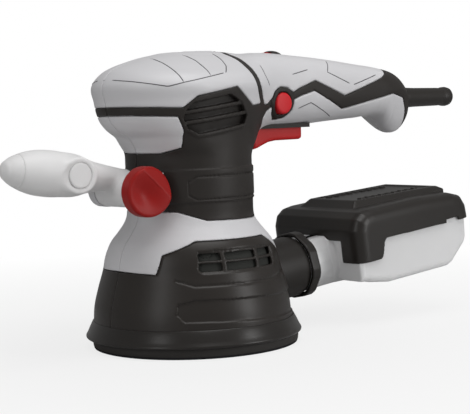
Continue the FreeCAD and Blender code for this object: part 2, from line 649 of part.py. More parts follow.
def button_spring():
    x, z = BUTTON_AT
    spring = rod(V(x, BUTTON_FACE + 7, z), V(x, -SWITCH_HALF, z), STEM_R + 1.6)
    return spring.cut(rod(V(x, BUTTON_FACE, z), V(x, 0, z), STEM_R + 0.6))


def speed_dial():
    x, z = DIAL_AT
    half = DIAL_W / 2
    wheel = rod(V(x, -half, z), V(x, half, z), DIAL_R)
    notches = []
    for k in range(18):
        a = math.radians(20 * k)
        at = V(x + DIAL_R * math.cos(a), 0, z + DIAL_R * math.sin(a))
        notches.append(rod(at - V(0, half + 1, 0), at + V(0, half + 1, 0), 0.7))
    wheel = wheel.cut(Part.makeCompound(notches))
    return wheel.cut(rod(V(x, -half - 1, z), V(x, half + 1, z), PIN_R + FIT))


# ---- side handle ---------------------------------------------------------------------------------
def side_axis():
    return V(-math.cos(SIDE_TILT), 0, math.sin(SIDE_TILT))


def side_body():
    r = SIDE_R
    profile = [(0, 2), (6.4, 2), (7.8, 14), (8.8, 20), (10.6, 27), (11.9, 34), (r - 0.4, 41), (r, 50),
               (r - 0.8, 57), (r - 2.3, 63),
               (r - 4.6, 69), (r - 7.1, 74), (r - 9.8, SIDE_LEN - 1.5), (0, SIDE_LEN)]
    return turned(profile, side_axis(), SIDE_ROOT)


def cap_cut():
    return rod(SIDE_ROOT + side_axis() * (SIDE_LEN - 12.5), SIDE_ROOT + side_axis() * (SIDE_LEN + 5), 40)


def side_grip():
    """Hollow palm grip with the clamp eye at its root and a round screw boss on each side."""
    eye = rod(KNOB_AT - V(0, EYE_HALF, 0), KNOB_AT + V(0, EYE_HALF, 0), EYE_R - CLEAR)
    boss = rod(BOSS_AT - V(0, BOSS_HALF, 0), BOSS_AT + V(0, BOSS_HALF, 0), BOSS_R)
    body = side_body().cut(cap_cut()).fuse(boss).fuse(eye)
    body = body.cut(cylinder(BARREL_R + BAND_T + CLEAR, 0, 300))
    for sign in (-1, 1):
        face = BOSS_AT + V(0, sign * (BOSS_HALF - PLUG_T), 0)
        body = body.cut(rod(face, face + V(0, sign * 20, 0), PLUG_R))
    hollow = rod(SIDE_ROOT + side_axis() * 46, SIDE_ROOT + side_axis() * (SIDE_LEN - 12), SIDE_R - 5.5)
    return body.cut(hollow).cut(rod(KNOB_AT - V(0, 30, 0), KNOB_AT + V(0, 30, 0), STUD_R + FIT))


def side_plugs():
    plug = rod(BOSS_AT - V(0, BOSS_HALF, 0), BOSS_AT - V(0, BOSS_HALF - PLUG_T, 0), PLUG_R)
    return mirrored_pair(plug, V(0, 1, 0))


def clamp_knob():
    """Red clamp knob: a domed disc with a finger scoop on each side of its grip bar."""
    face = -(EYE_HALF + CLEAR + LUG_T) - CLEAR
    profile = [(0, 0), (KNOB_R - 0.8, 0), (KNOB_R, 1), (KNOB_R, KNOB_T - 4), (KNOB_R - 1.2, KNOB_T - 1.4),
               (KNOB_R - 3.5, KNOB_T - 0.3), (0, KNOB_T)]
    knob = turned(profile, V(0, -1, 0), V(KNOB_AT.x, face, KNOB_AT.z))
    bar = V(math.cos(math.radians(-48)), 0, math.sin(math.radians(-48)))
    across = V(-bar.z, 0, bar.x)
    for sign in (-1, 1):
        at = V(KNOB_AT.x, face - KNOB_T - 2.5, KNOB_AT.z) + across * (sign * 9.4)
        knob = knob.cut(rod(at - bar * 30, at + bar * 30, 6.4))
    return knob.cut(rod(V(KNOB_AT.x, face + 1, KNOB_AT.z), V(KNOB_AT.x, face - 7, KNOB_AT.z), STUD_R))


def clamp_stud():
    face = -(EYE_HALF + CLEAR + LUG_T) - CLEAR
    return rod(V(KNOB_AT.x, face - 7, KNOB_AT.z), V(KNOB_AT.x, EYE_HALF + CLEAR + LUG_T + 7, KNOB_AT.z),
               STUD_R)


# ---- dust box, drawn level with the outlet's axis along +X, then set on the outlet -----------------
def lock_ring():
    ring = rod(V(PORT_END + CLEAR, 0, 0), V(RING_END - CLEAR, 0, 0), PORT_R + 2.2)
    flats = [V(0, 22.2 * math.cos(math.radians(45 * k + 22.5)),
               22.2 * math.sin(math.radians(45 * k + 22.5))) for k in range(8)]
    prism8 = Part.Face(Part.makePolygon(flats + flats[:1])).extrude(V(90, 0, 0))
    return on_port(ring.common(prism8).cut(rod(V(0, 0, 0), V(90, 0, 0), PORT_BORE + FIT)))


def bin_form(inset):
    front, rear, floor = BOX_FRONT + CLEAR + inset, BOX_REAR - BOX_WALL - CLEAR - inset, BIN_FLOOR + inset
    outline = [(front, floor + 6), (front + 13, floor + 6), (front + 28, floor + 0.5), (rear - 20, floor),
               (rear - 6, floor + 6),
               (rear, floor + 15), (rear, LID_EDGE + 2 + inset), (front, LID_EDGE + 2 + inset)]
    half = BOX_HALF - BOX_WALL - CLEAR - inset
    return prism(outline, -half, half)


def dust_bin():
    """Translucent bin with the round neck that plugs into the outlet."""
    walls = bin_form(0).cut(bin_form(BIN_WALL))
    neck = rod(V(RING_END, 0, 0), V(BOX_FRONT + CLEAR + BIN_WALL, 0, 0), PORT_R)
    spigot = rod(V(PORT_END - 14, 0, 0), V(RING_END + 1, 0, 0), PORT_BORE - FIT)
    body = walls.fuse(neck).fuse(spigot)
    return on_port(body.cut(rod(V(0, 0, 0), V(BOX_FRONT + 8, 0, 0), SPIGOT_BORE)))


def lid_form(inset):
    """Shallow cover, lower at the rear, with rounded long edges."""
    front, rear, half = BOX_FRONT - BOX_WALL + inset, BOX_REAR - inset, BOX_HALF - inset
    top = LID_TOP - inset
    side = prism([(front, LID_EDGE), (front, top - 3), (front + 3, top), (rear - 5, top - 4.5),
                  (rear - 1, top - 7), (rear, LID_EDGE)], -60, 60)
    across = [V(0, -half, LID_EDGE - 1), V(0, -half, top - 8), V(0, -half + 2.2, top - 4),
              V(0, -half + 7, top - 1.5), V(0, -half + 16, top),
              V(0, half - 16, top), V(0, half - 7, top - 1.5), V(0, half - 2.2, top - 4),
              V(0, half, top - 8), V(0, half, LID_EDGE - 1)]
    return side.common(Part.Face(Part.makePolygon(across + across[:1])).extrude(V(200, 0, 0)))


def dust_lid():
    """Black lid: cover, corner tabs, a hood over the neck, and a wedge panel with ribs on top."""
    front = BOX_FRONT - BOX_WALL
    half = BOX_HALF
    cover = lid_form(0)
    hood = block(front - 8, front + 1, -HOOD_HALF, HOOD_HALF, LID_EDGE - 3, LID_TOP - 4)
    tab = prism([(front, LID_EDGE), (front, TAB_EDGE), (front + 22, TAB_EDGE), (front + 31, LID_EDGE)],
                -half, -PORT_R - 0.8)
    tabs = tab.fuse(tab.mirror(V(0, 0, 0), V(0, 1, 0)))
    panel = prism([(front + 10, LID_TOP - 1), (front + 17, LID_TOP + 5.0), (BOX_REAR - 8, LID_TOP - 3.6),
                   (BOX_REAR - 5, LID_TOP - 5.5)], -PANEL_HALF, PANEL_HALF)
    solid = cover.fuse(hood).fuse(tabs).fuse(panel)
    inner = block(front + BOX_WALL, BOX_REAR - BOX_WALL, -half + BOX_WALL, half - BOX_WALL, TAB_EDGE - 1,
                  LID_EDGE + 1)
    solid = solid.cut(lid_form(BOX_WALL)).cut(inner)
    solid = solid.cut(rod(V(0, 0, 0), V(front + BOX_WALL + 1, 0, 0), PORT_R + CLEAR))
    slope = (9.2 / (BOX_REAR - 25 - front))
    for k in range(9):
        u = front + 28 + 8.2 * k
        top = LID_TOP + 5.6 - slope * (u - front - 17)
        solid = solid.fuse(block(u, u + 4.2, -5, 5, top - 1.5, top + 0.5))
    return on_port(solid)


def filter_frame():
    z0, z1 = LID_EDGE - 6, LID_EDGE - 2
    half = BOX_HALF - BOX_WALL - BIN_WALL - 2 * CLEAR
    u0, u1 = BOX_FRONT + BIN_WALL + 3 * CLEAR, BOX_REAR - BOX_WALL - BIN_WALL - 3 * CLEAR
    frame = block(u0, u1, -half, half, z0, z1).cut(block(u0 + 12, u1 - 10, -half + 8, half - 8, z0 - 1,
                                                         z1 + 1))
    for u in (u0 + 3, u1 - 9):
        for y in (-half + 3, half - 9):
            frame = frame.fuse(block(u, u + 6, y, y + 6, z1 - 1,
                                     LID_TOP).common(lid_form(BOX_WALL).fuse(block(u, u + 6, y, y + 6,
                                                                                   z1 - 1, LID_EDGE + 1))))
    return on_port(frame.cut(rod(V(0, 0, 0), V(u0 + 4, 0, 0), SPIGOT_BORE)))


def filter_paper():
    """Pleated paper under the frame's window."""
    half = BOX_HALF - BOX_WALL - BIN_WALL - 2 * CLEAR - 6
    u0, u1 = BOX_FRONT + BIN_WALL + 3 * CLEAR + 11, BOX_REAR - BOX_WALL - BIN_WALL - 3 * CLEAR - 9
    top, low, count = LID_EDGE - 6, -9.0, 12
    pitch = (u1 - u0) / count
    outline = [(u0, top)]
    for k in range(count):
        outline += [(u0 + pitch * (k + 0.5), low), (u0 + pitch * (k + 1), top - 3)]
    outline[-1] = (u1, top)
    return on_port(prism(outline, -half, half))


PIECES = {
    "brake_ring": brake_ring, "dust_outlet": dust_outlet, "bearing_bracket": bearing_bracket,
    "field_stator": stator,
    "field_windings": field_windings, "brush_plate": brush_plate, "carbon_brushes": brushes,
    "brush_springs": brush_springs,
    "switch_body": switch_body, "speed_board": speed_board, "trigger_seal": trigger_seal,
    "cord_sleeve": cord_sleeve,
    "cord_clamp": cord_clamp, "handle_bracket": handle_bracket, "clamp_nut": clamp_nut,
    "motor_shaft": shaft, "armature": armature, "commutator": commutator, "double_fan": fan,
    "counterweight": counterweight,
    "pad_hub": pad_hub, "pad_plate": pad_plate, "pad_foam": pad_foam, "hook_face": hook_face,
    "pad_bolt": pad_bolt,
    "trigger": trigger, "trigger_spring": trigger_spring, "lock_button": lock_button,
    "button_spring": button_spring,
    "speed_dial": speed_dial, "side_grip": side_grip, "side_plugs": side_plugs, "clamp_knob": clamp_knob,
    "clamp_stud": clamp_stud, "lock_ring": lock_ring, "dust_bin": dust_bin, "dust_lid": dust_lid,
    "filter_frame": filter_frame, "filter_paper": filter_paper,
}


def build():
    pieces = split_pieces()
    pieces["lower_bearing"] = ball_bearing(BEARING_R, SHAFT_R + FIT, BEARING_Z, BEARING_W)
    pieces["upper_bearing"] = ball_bearing(TOP_BEARING_R, TOP_SHAFT_R + FIT, TOP_BEARING_Z, TOP_BEARING_W)
    pieces["pad_bearing"] = ball_bearing(BEARING_R, SHAFT_R, PAD_BEARING_Z, BEARING_W, ORBIT)
    pieces["side_cap"] = side_body().common(cap_cut())
    for name, make in PIECES.items():
        pieces[name] = make()
    return pieces


if __name__ == "__main__":
    os.makedirs("parts", exist_ok=True)
    for name, shape in build().items():
        save(name, shape)
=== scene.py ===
import json
import math

import bpy
import numpy as np
from mathutils import Matrix, Vector


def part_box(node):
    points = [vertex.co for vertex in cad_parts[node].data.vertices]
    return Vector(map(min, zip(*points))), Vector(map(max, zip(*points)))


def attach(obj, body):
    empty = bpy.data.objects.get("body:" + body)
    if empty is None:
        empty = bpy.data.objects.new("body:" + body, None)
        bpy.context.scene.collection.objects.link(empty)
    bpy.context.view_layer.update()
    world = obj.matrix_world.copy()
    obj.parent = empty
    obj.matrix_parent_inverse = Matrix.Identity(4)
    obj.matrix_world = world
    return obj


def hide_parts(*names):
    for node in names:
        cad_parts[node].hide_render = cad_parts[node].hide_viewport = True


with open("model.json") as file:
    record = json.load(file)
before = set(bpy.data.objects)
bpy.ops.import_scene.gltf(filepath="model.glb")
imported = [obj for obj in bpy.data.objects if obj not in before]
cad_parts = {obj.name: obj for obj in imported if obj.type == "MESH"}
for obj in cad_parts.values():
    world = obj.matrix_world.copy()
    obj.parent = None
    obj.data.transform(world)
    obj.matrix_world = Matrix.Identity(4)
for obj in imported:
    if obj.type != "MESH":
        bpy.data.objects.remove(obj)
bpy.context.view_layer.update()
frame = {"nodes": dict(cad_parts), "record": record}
mm = 0.001

# ---- camera, floor and light ---------------------------------------------------------------------
# A long lens stands to the front left of the sander, a little above the side handle.  The sander
# stands on a plain white sweep with three large soft lamps round it.
azimuth, elevation, roll = math.radians(-38.501), math.radians(4.128), math.radians(-1.934)
aim_right, aim_height, reach = 27.485 * mm, 82.448 * mm, 832.816 * mm
to_camera = Vector((math.sin(azimuth) * math.cos(elevation), -math.cos(azimuth) * math.cos(elevation),
                    math.sin(elevation)))
level_right = Vector((math.cos(azimuth), math.sin(azimuth), 0))
level_up = to_camera.cross(level_right)
right = level_right * math.cos(roll) + level_up * math.sin(roll)
up = level_up * math.cos(roll) - level_right * math.sin(roll)
lens = bpy.data.cameras.new("studio_camera")
film_width, focal_length = 36, 105.22677446808511
lens.sensor_width, lens.lens = film_width, focal_length
lens.clip_end = 10
camera = bpy.data.objects.new("studio_camera", lens)
place = right * aim_right + Vector((0, 0, aim_height)) + to_camera * reach
camera.matrix_world = Matrix.Translation(place) @ Matrix((right, up, to_camera)).transposed().to_4x4()
bpy.context.scene.collection.objects.link(camera)
bpy.context.scene.camera = camera
bpy.context.scene.view_settings.view_transform = "Standard"


def plain_nodes(name):
    """A new material with only its Principled shader and output."""
    material = bpy.data.materials.new(name)
    material.use_nodes = True
    return material, material.node_tree.nodes, material.node_tree.links


def paper_white(name, tone):
    """Backdrop paper: lit like paper, but mostly plain white to the camera, and wholly so away from the sander."""
    material, nodes, links = plain_nodes(name)
    paper = nodes["Principled BSDF"]
    paper.inputs["Base Color"].default_value = (tone, tone, tone, 1)
    paper.inputs["Roughness"].default_value = 0.9
    glow, mix = nodes.new("ShaderNodeEmission"), nodes.new("ShaderNodeMixShader")
    path, share = nodes.new("ShaderNodeLightPath"), nodes.new("ShaderNodeMath")
    where, away = nodes.new("ShaderNodeNewGeometry"), nodes.new("ShaderNodeVectorMath")
    fade = nodes.new("ShaderNodeMapRange")
    away.operation, share.operation = "LENGTH", "MULTIPLY"
    fade.inputs["From Min"].default_value, fade.inputs["From Max"].default_value = 0.1, 0.55
    fade.inputs["To Min"].default_value, fade.inputs["To Max"].default_value = 0.8, 1.0
    links.new(where.outputs["Position"], away.inputs[0])
    links.new(away.outputs["Value"], fade.inputs["Value"])
    links.new(fade.outputs[0], share.inputs[0])
    links.new(path.outputs["Is Camera Ray"], share.inputs[1])
    links.new(share.outputs[0], mix.inputs["Fac"])
    links.new(paper.outputs[0], mix.inputs[1])
    links.new(glow.outputs[0], mix.inputs[2])
    links.new(mix.outputs[0], nodes["Material Output"].inputs["Surface"])
    return material


def card(name, width, depth, place, material):
    """A flat sheet, used for the studio floor."""
    mesh = bpy.data.meshes.new(name)
    w, d = width / 2, depth / 2
    corners = [(-w, -d, 0), (w, -d, 0), (w, d, 0), (-w, d, 0)]
    mesh.from_pydata(corners, [], [(0, 1, 2, 3)])
    sheet = bpy.data.objects.new(name, mesh)
    sheet.location = place
    mesh.materials.append(material)
    bpy.context.scene.collection.objects.link(sheet)


floor_paper = paper_white("floor_paper", 0.5)
card("floor", 8, 8, (0, 0, 0), floor_paper)

world = bpy.data.worlds.new("studio_air")
bpy.context.scene.world = world
world.use_nodes = True
air = world.node_tree.nodes["Background"]
air.inputs["Color"].default_value = (1, 1, 1, 1)
path = world.node_tree.nodes.new("ShaderNodeLightPath")
seen = world.node_tree.nodes.new("ShaderNodeMath")
seen.operation = "MULTIPLY_ADD"
seen.inputs[1].default_value = 0.7
seen.inputs[2].default_value = 0.3
world.node_tree.links.new(path.outputs["Is Camera Ray"], seen.inputs[0])
world.node_tree.links.new(seen.outputs[0], air.inputs["Strength"])


def soft_lamp(name, place, target, width, height, watts):
    """A soft box lamp that faces a target."""
    lamp = bpy.data.lights.new(name, "AREA")
    lamp.shape, lamp.size, lamp.size_y, lamp.energy = "RECTANGLE", width, height, watts
    stand = bpy.data.objects.new(name, lamp)
    stand.location = place
    stand.rotation_euler = (Vector(place) - Vector(target)).to_track_quat("Z", "Y").to_euler()
    bpy.context.scene.collection.objects.link(stand)


middle = (0.04, 0, 0.09)
soft_lamp("top_lamp", (0.05, -0.3, 0.95), middle, 0.7, 0.7, 5.0)
soft_lamp("left_lamp", (-0.95, -0.25, 0.35), middle, 0.25, 0.7, 1.7)
soft_lamp("right_lamp", (0.55, -0.95, 0.3), middle, 0.22, 0.7, 4.0)


# ---- housing shells ------------------------------------------------------------------------------
# The housing is moulded in two halves that meet on the centre plane.  Each half has a light grey
# hard shell, a black soft grip skin over barrel, belt and handle, and a black skirt at the foot.
# The forms are drawn as distance fields in millimetres, and each piece is cut out of the same form.
def ramp(t, knots, values):
    """A smooth curve through a few knots, flat beyond both ends."""
    knots, values = np.array(knots, np.float32), np.array(values, np.float32)
    slopes = np.gradient(values, knots)
    t = np.clip(t, knots[0], knots[-1])
    i = np.clip(np.searchsorted(knots, t, side="right") - 1, 0, len(knots) - 2)
    span = knots[i + 1] - knots[i]
    u = (t - knots[i]) / span
    a, b = values[i], values[i + 1]
    sa, sb = slopes[i] * span, slopes[i + 1] * span
    return a + u * (sa + u * (3 * (b - a) - 2 * sa - sb + u * (2 * (a - b) + sa + sb)))


def outline(a, b, points):
    """Signed distance to a closed outline of (a, b) points, negative inside."""
    a, b = np.broadcast_arrays(a, b)
    nearest = np.full(a.shape, 1e9, np.float32)
    inside = np.zeros(a.shape, bool)
    for (a0, b0), (a1, b1) in zip(points, points[1:] + points[:1]):
        ea, eb = a1 - a0, b1 - b0
        t = np.clip(((a - a0) * ea + (b - b0) * eb) / (ea * ea + eb * eb), 0, 1)
        nearest = np.minimum(nearest, np.hypot(a - a0 - ea * t, b - b0 - eb * t))
        crosses = (b0 > b) != (b1 > b)
        inside ^= crosses & (a < (a1 - a0) * (b - b0) / (b1 - b0 if b1 != b0 else 1) + a0)
    return np.where(inside, -nearest, nearest).astype(np.float32)


def trace(a, b, points):
    """Distance to an open line of (a, b) points."""
    a, b = np.broadcast_arrays(a, b)
    nearest = np.full(a.shape, 1e9, np.float32)
    for (a0, b0), (a1, b1) in zip(points, points[1:]):
        ea, eb = a1 - a0, b1 - b0
        t = np.clip(((a - a0) * ea + (b - b0) * eb) / (ea * ea + eb * eb), 0, 1)
        nearest = np.minimum(nearest, np.hypot(a - a0 - ea * t, b - b0 - eb * t))
    return nearest


def melt(f, g, k):
    """Union of two forms with a fillet of about k."""
    h = np.clip(0.5 + 0.5 * (g - f) / k, 0, 1)
    return g * (1 - h) + f * h - k * h * (1 - h)


def carve(f, g, k):
    """What is inside f and outside g, with a rounded edge of about k."""
    return -melt(-f, g, k)


def even(field, step):
    """Scales a form's field so that it is near a true distance at the surface."""
    slope = np.sqrt(sum(d * d for d in np.gradient(field, step)))
    return field / np.clip(slope, 0.35, 6)


def lattice(low, high, step):
    """Sample points of a box, as three arrays that broadcast against each other."""
    x, y, z = (np.arange(a, b + step, step, dtype=np.float32) for a, b in zip(low, high))
    return x[:, None, None], y[None, :, None], z[None, None, :]


def skin(field, low, step):
    """Points and quads of the zero surface of a sampled field, one point in each cut cell."""
    inside = field < 0
    nx, ny, nz = (n - 1 for n in field.shape)
    corners = [(i, j, k) for i in (0, 1) for j in (0, 1) for k in (0, 1)]
    count = sum(inside[i:nx + i, j:ny + j, k:nz + k].astype(np.int8) for i, j, k in corners)
    cells = np.argwhere((count > 0) & (count < 8))
    value = np.stack([field[tuple((cells + c).T)] for c in corners], 1)
    total, hits = np.zeros((len(cells), 3)), np.zeros(len(cells))
    for p, cp in enumerate(corners):
        for q, cq in enumerate(corners):
            if q > p and sum(abs(m - n) for m, n in zip(cp, cq)) == 1:
                cut = (value[:, p] < 0) != (value[:, q] < 0)
                gap = value[:, p] - value[:, q]
                t = np.clip(value[:, p] / np.where(gap == 0, 1, gap), 0, 1)
                point = np.array(cp) + t[:, None] * (np.array(cq) - np.array(cp))
                total += point * cut[:, None]
                hits += cut
    points = (cells + total / hits[:, None]) * step + np.array(low)
    index = np.full((nx, ny, nz), -1, np.int32)
    index[tuple(cells.T)] = np.arange(len(cells))
    quads = []
    for axis in range(3):
        one, two = [n for n in range(3) if n != axis]
        ahead = [slice(None)] * 3
        behind = [slice(None)] * 3
        ahead[axis], behind[axis] = slice(1, None), slice(None, -1)
        flips = inside[tuple(behind)] != inside[tuple(ahead)]
        edges = np.argwhere(flips)
        size = np.array((nx, ny, nz))
        edges = edges[(edges[:, one] > 0) & (edges[:, two] > 0)
                      & (edges[:, one] < size[one]) & (edges[:, two] < size[two])]
        ring = []
        for d1, d2 in ((0, 0), (1, 0), (1, 1), (0, 1)):
            cell = edges.copy()
            cell[:, one] -= d1
            cell[:, two] -= d2
            ring.append(index[tuple(cell.T)])
        ring = np.stack(ring, 1)
        outwards = inside[tuple(edges.T)] == (axis != 1)
        ring[outwards] = ring[outwards][:, ::-1]
        quads.append(ring)
    return points, np.concatenate(quads)


def field_piece(name, field, low, step, material, body, mirrored=False, place=None):
    """A moulded piece: the skin of a field, smooth shaded, riding on a body of the frame."""
    points, quads = skin(field, low, step)
    points = points * mm
    if mirrored:
        points = points * (1, -1, 1)
        quads = quads[:, ::-1]
    mesh = bpy.data.meshes.new(name)
    mesh.vertices.add(len(points))
    mesh.vertices.foreach_set("co", points.astype(np.float32).ravel())
    mesh.loops.add(quads.size)
    mesh.loops.foreach_set("vertex_index", quads.astype(np.int32).ravel())
    mesh.polygons.add(len(quads))
    mesh.polygons.foreach_set("loop_start", np.arange(0, quads.size, 4, dtype=np.int32))
    mesh.polygons.foreach_set("loop_total", np.full(len(quads), 4, np.int32))
    mesh.polygons.foreach_set("use_smooth", np.ones(len(quads), bool))
    mesh.update(calc_edges=True)
    mesh.validate()
    piece = bpy.data.objects.new(name, mesh)
    if place is not None:
        mesh.transform(place)
    mesh.materials.append(material)
    bpy.context.scene.collection.objects.link(piece)
    ease = piece.modifiers.new("ease", "SMOOTH")
    ease.factor, ease.iterations = 0.4, 2
    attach(piece, body)
    return piece


skin_gap = 0.25
wall = 2.6
head_top = 176.3


def head_form(x, y, z):
    """Round nose, widest at mid height, crowned on top; it runs back into the neck of the handle."""
    level = (112, 117, 122, 126, 130, 134, 140, 147, 157, 162, 166, 170, 173.7, 175.7, 176.25)
    front = ramp(z, level, (36, 37, 40, 43, 49.5, 53.8, 57, 58.4, 59.6, 56.4, 51.5, 40.5, 25, 10, 0))
    half = ramp(z, level, (36, 37, 38, 38.4, 39, 39.8, 41, 42, 42.3, 38.2, 31.5, 24, 15, 8, 3))
    rear = ramp(z, level, (40, 43, 46, 48, 49.5, 51, 52, 52, 51.5, 49, 46, 40, 33, 26, 20))
    centre = ramp(z, level, (0, -8, -11, -12, -12, -12, -12, -12, -12, -11, -9, -5, 0, 6, 9))
    length = np.where(x < centre, front + centre, rear - centre)
    shape = (np.hypot((x - centre) / length, y / half) - 1) * half
    return np.maximum(shape, z - head_top)


def handle_form(x, y, z):
    """The grip: slim rounded box, flatter on top, with a hanging horn under its rear end."""
    along = (10, 30, 47, 84, 112, 134, 150, 152, 154, 157, 162, 168, 172, 177, 181, 186)
    top = ramp(x, along, (171, 173, 175, 173.3, 170.6, 167.8, 165.8, 165.5, 165.2, 164.7, 163.9, 162.2, 160.4,
                          157.4, 155.2, 153))
    low = ramp(x, along, (130, 129.6, 128.8, 129.2, 131, 132.2, 132.9, 132.5, 131.6, 128.8, 124.2, 121.4, 120.8,
                          121.4, 123.4, 126.6))
    half = ramp(x, along, (29, 26, 23, 20.3, 19.5, 19, 18.6, 18.6, 18.5, 18.4, 17.9, 17, 16.2, 15.2, 14.4, 13.6))
    slim = np.clip((150 - z) / 30, 0, 1) * np.clip((x - 148) / 14, 0, 1)
    half = half * (1 - 0.42 * slim)
    end = np.clip((x - 163) / (185.6 - 163), 0, 1)
    close = (1 - end ** 3.2) ** (1 / 2.6)
    middle, tall = (top + low) / 2, (top - low) / 2
    sideways, upwards = np.abs(y / (half * close + 0.05)), np.abs((z - middle) / (tall * close + 0.05))
    shape = (sideways ** 2.5 + upwards ** 2.5) ** 0.4
    return np.maximum((shape - 1) * np.minimum(half, tall) * close, np.maximum(x - 185.6, 12 - x))


def lower_form(x, y, z):
    """Barrel, cone and skirt: one turned form round the motor axis."""
    level = (10, 16.5, 25, 36.5, 47.5, 53, 58, 63.6, 69.2, 74.5, 78.5, 81, 84, 130)
    radius = ramp(z, level, (60.6, 60.5, 59.8, 56.9, 53.6, 52.5, 50.9, 48.1, 43.6, 39.9, 38.3, 38, 38, 38))
    return np.maximum(np.hypot(x, y) - radius, z - 150)


def housing_form(x, y, z):
    """Barrel, head and handle melted into one form."""
    body = melt(lower_form(x, y, z), head_form(x, y, z), 1.5)
    return melt(body, handle_form(x, y, z), 7)


def grip_outline(x, z):
    """Side view of the black soft skin: belt, intake field, barrel, link and handle stripe with heel."""
    belt = outline(x, z, [(-90, 144.2), (-60, 144), (-29, 142.4), (-20, 142.4), (-20, 137.6), (-32, 137.6),
                          (-60, 139.4), (-90, 139.6)])
    body = outline(x, z, [(-30, 142.4), (-21.4, 149.1), (7.5, 153.9), (24.4, 142.6), (36, 143.4), (44.5, 127),
                          (46, 75.4), (-14, 76.8), (-21, 79.4), (-28, 82.4), (-70, 82.6), (-70, 116.4),
                          (-33, 116.4), (-26.2, 119.6), (-27.6, 129.6), (-32, 137.4)])
    link = outline(x, z, [(34, 143.8), (43.8, 142.7), (49.5, 146.6), (52, 150.6), (57, 153.4), (63, 152.8),
                          (68, 149.8), (74.3, 152.5), (87.9, 156.9), (113.4, 146.9), (146.6, 157), (150, 158.2),
                          (154, 160.2), (156.6, 163), (157, 190), (200, 190), (200, 110), (177.5, 110),
                          (176.6, 130), (175.2, 137), (170.4, 144.8), (159.2, 147.6), (112.7, 138.6),
                          (86.8, 150.7), (75, 147.8), (68.8, 145.4), (68, 139), (63, 134.4), (54.5, 133.2),
                          (50.8, 137),
                          (49.6, 141.6), (43.6, 138.6), (38, 130)])
    neck = outline(x, z, [(20, 184), (24, 184), (25, 176.5), (26, 174.6), (29.5, 170.4), (32.2, 163.5),
                          (34.2, 155.5), (37, 148.8), (39.4, 143.4), (34.9, 143.4), (31.9, 149.6), (29, 155.5),
                          (27.2, 163.4), (25.2, 170.3), (22.4, 173.9), (21, 176.5)])
    return np.minimum(np.minimum(belt, body), np.minimum(link, neck))


def skirt_outline(x, z):
    """Side view of the black skirt with the raised field round its vents."""
    return outline(x, z, [(-90, 0), (-90, 49), (-55, 48.4), (-45.6, 47.2), (-41.8, 58), (-25.6, 65.4),
                          (22.8, 65.4), (35, 58.4), (46, 52), (90, 52), (90, 0)])


def intake_outline(x, z):
    """The hollow of the air intake beside the belt."""
    return outline(x, z, [(-28.6, 136.6), (-27.2, 141), (-23.6, 144.8), (2.5, 149), (12, 144.6), (18, 136.8),
                          (16.6, 132.4), (-19.4, 127.4), (-25.2, 130.4)]) - 0.6


def slab(v, low, high):
    """Negative between two planes across v."""
    return np.maximum(low - v, v - high)


def grain_group():
    """Fine moulding grain with slow colour drift, for every moulded plastic and rubber piece."""
    group = bpy.data.node_groups.new("moulding_grain", "ShaderNodeTree")
    sockets = {"INPUT": ("Tone", "Roughness", "Grain", "Depth"), "OUTPUT": ("Color", "Roughness", "Height")}
    for way, labels in sockets.items():
        for label in labels:
            kind = "NodeSocketColor" if label in ("Tone", "Color") else "NodeSocketFloat"
            group.interface.new_socket(label, in_out=way, socket_type=kind)
    nodes, links = group.nodes, group.links
    given, result = nodes.new("NodeGroupInput"), nodes.new("NodeGroupOutput")
    where = nodes.new("ShaderNodeTexCoord")
    fine, slow = nodes.new("ShaderNodeTexNoise"), nodes.new("ShaderNodeTexNoise")
    fine.inputs["Detail"].default_value = 3
    slow.inputs["Scale"].default_value = 26
    drift = nodes.new("ShaderNodeHueSaturation")
    value, rough = nodes.new("ShaderNodeMapRange"), nodes.new("ShaderNodeMapRange")
    value.inputs["To Min"].default_value, value.inputs["To Max"].default_value = 0.955, 1.045
    rough.inputs["To Min"].default_value, rough.inputs["To Max"].default_value = -0.05, 0.05
    add, deep = nodes.new("ShaderNodeMath"), nodes.new("ShaderNodeMath")
    deep.operation = "MULTIPLY"
    for noise in (fine, slow):
        links.new(where.outputs["Object"], noise.inputs["Vector"])
    links.new(given.outputs["Grain"], fine.inputs["Scale"])
    links.new(slow.outputs["Fac"], value.inputs["Value"])
    links.new(slow.outputs["Fac"], rough.inputs["Value"])
    links.new(given.outputs["Tone"], drift.inputs["Color"])
    links.new(value.outputs[0], drift.inputs["Value"])
    links.new(given.outputs["Roughness"], add.inputs[0])
    links.new(rough.outputs[0], add.inputs[1])
    links.new(fine.outputs["Fac"], deep.inputs[0])
    links.new(given.outputs["Depth"], deep.inputs[1])
    links.new(drift.outputs["Color"], result.inputs["Color"])
    links.new(add.outputs[0], result.inputs["Roughness"])
    links.new(deep.outputs[0], result.inputs["Height"])
    return group


moulding_grain = grain_group()


def moulded(name, tone, roughness, grain=1400, depth=0.5, coat=0.0, transmission=0.0, gloss=0.5):
    """A moulded plastic or rubber with its own colour, gloss and grain."""
    material, nodes, links = plain_nodes(name)
    face = nodes["Principled BSDF"]
    skin_grain = nodes.new("ShaderNodeGroup")
    skin_grain.node_tree = moulding_grain
    skin_grain.inputs["Tone"].default_value = (*tone, 1)
    skin_grain.inputs["Roughness"].default_value = roughness
    skin_grain.inputs["Grain"].default_value = grain
    skin_grain.inputs["Depth"].default_value = depth
    bump = nodes.new("ShaderNodeBump")
    bump.inputs["Strength"].default_value = 0.12
    bump.inputs["Distance"].default_value = 0.0002
    links.new(skin_grain.outputs["Color"], face.inputs["Base Color"])
    links.new(skin_grain.outputs["Roughness"], face.inputs["Roughness"])
    links.new(skin_grain.outputs["Height"], bump.inputs["Height"])
    links.new(bump.outputs["Normal"], face.inputs["Normal"])
    face.inputs["Coat Weight"].default_value = coat
    face.inputs["Specular IOR Level"].default_value = gloss
    face.inputs["Transmission Weight"].default_value = transmission
    return material


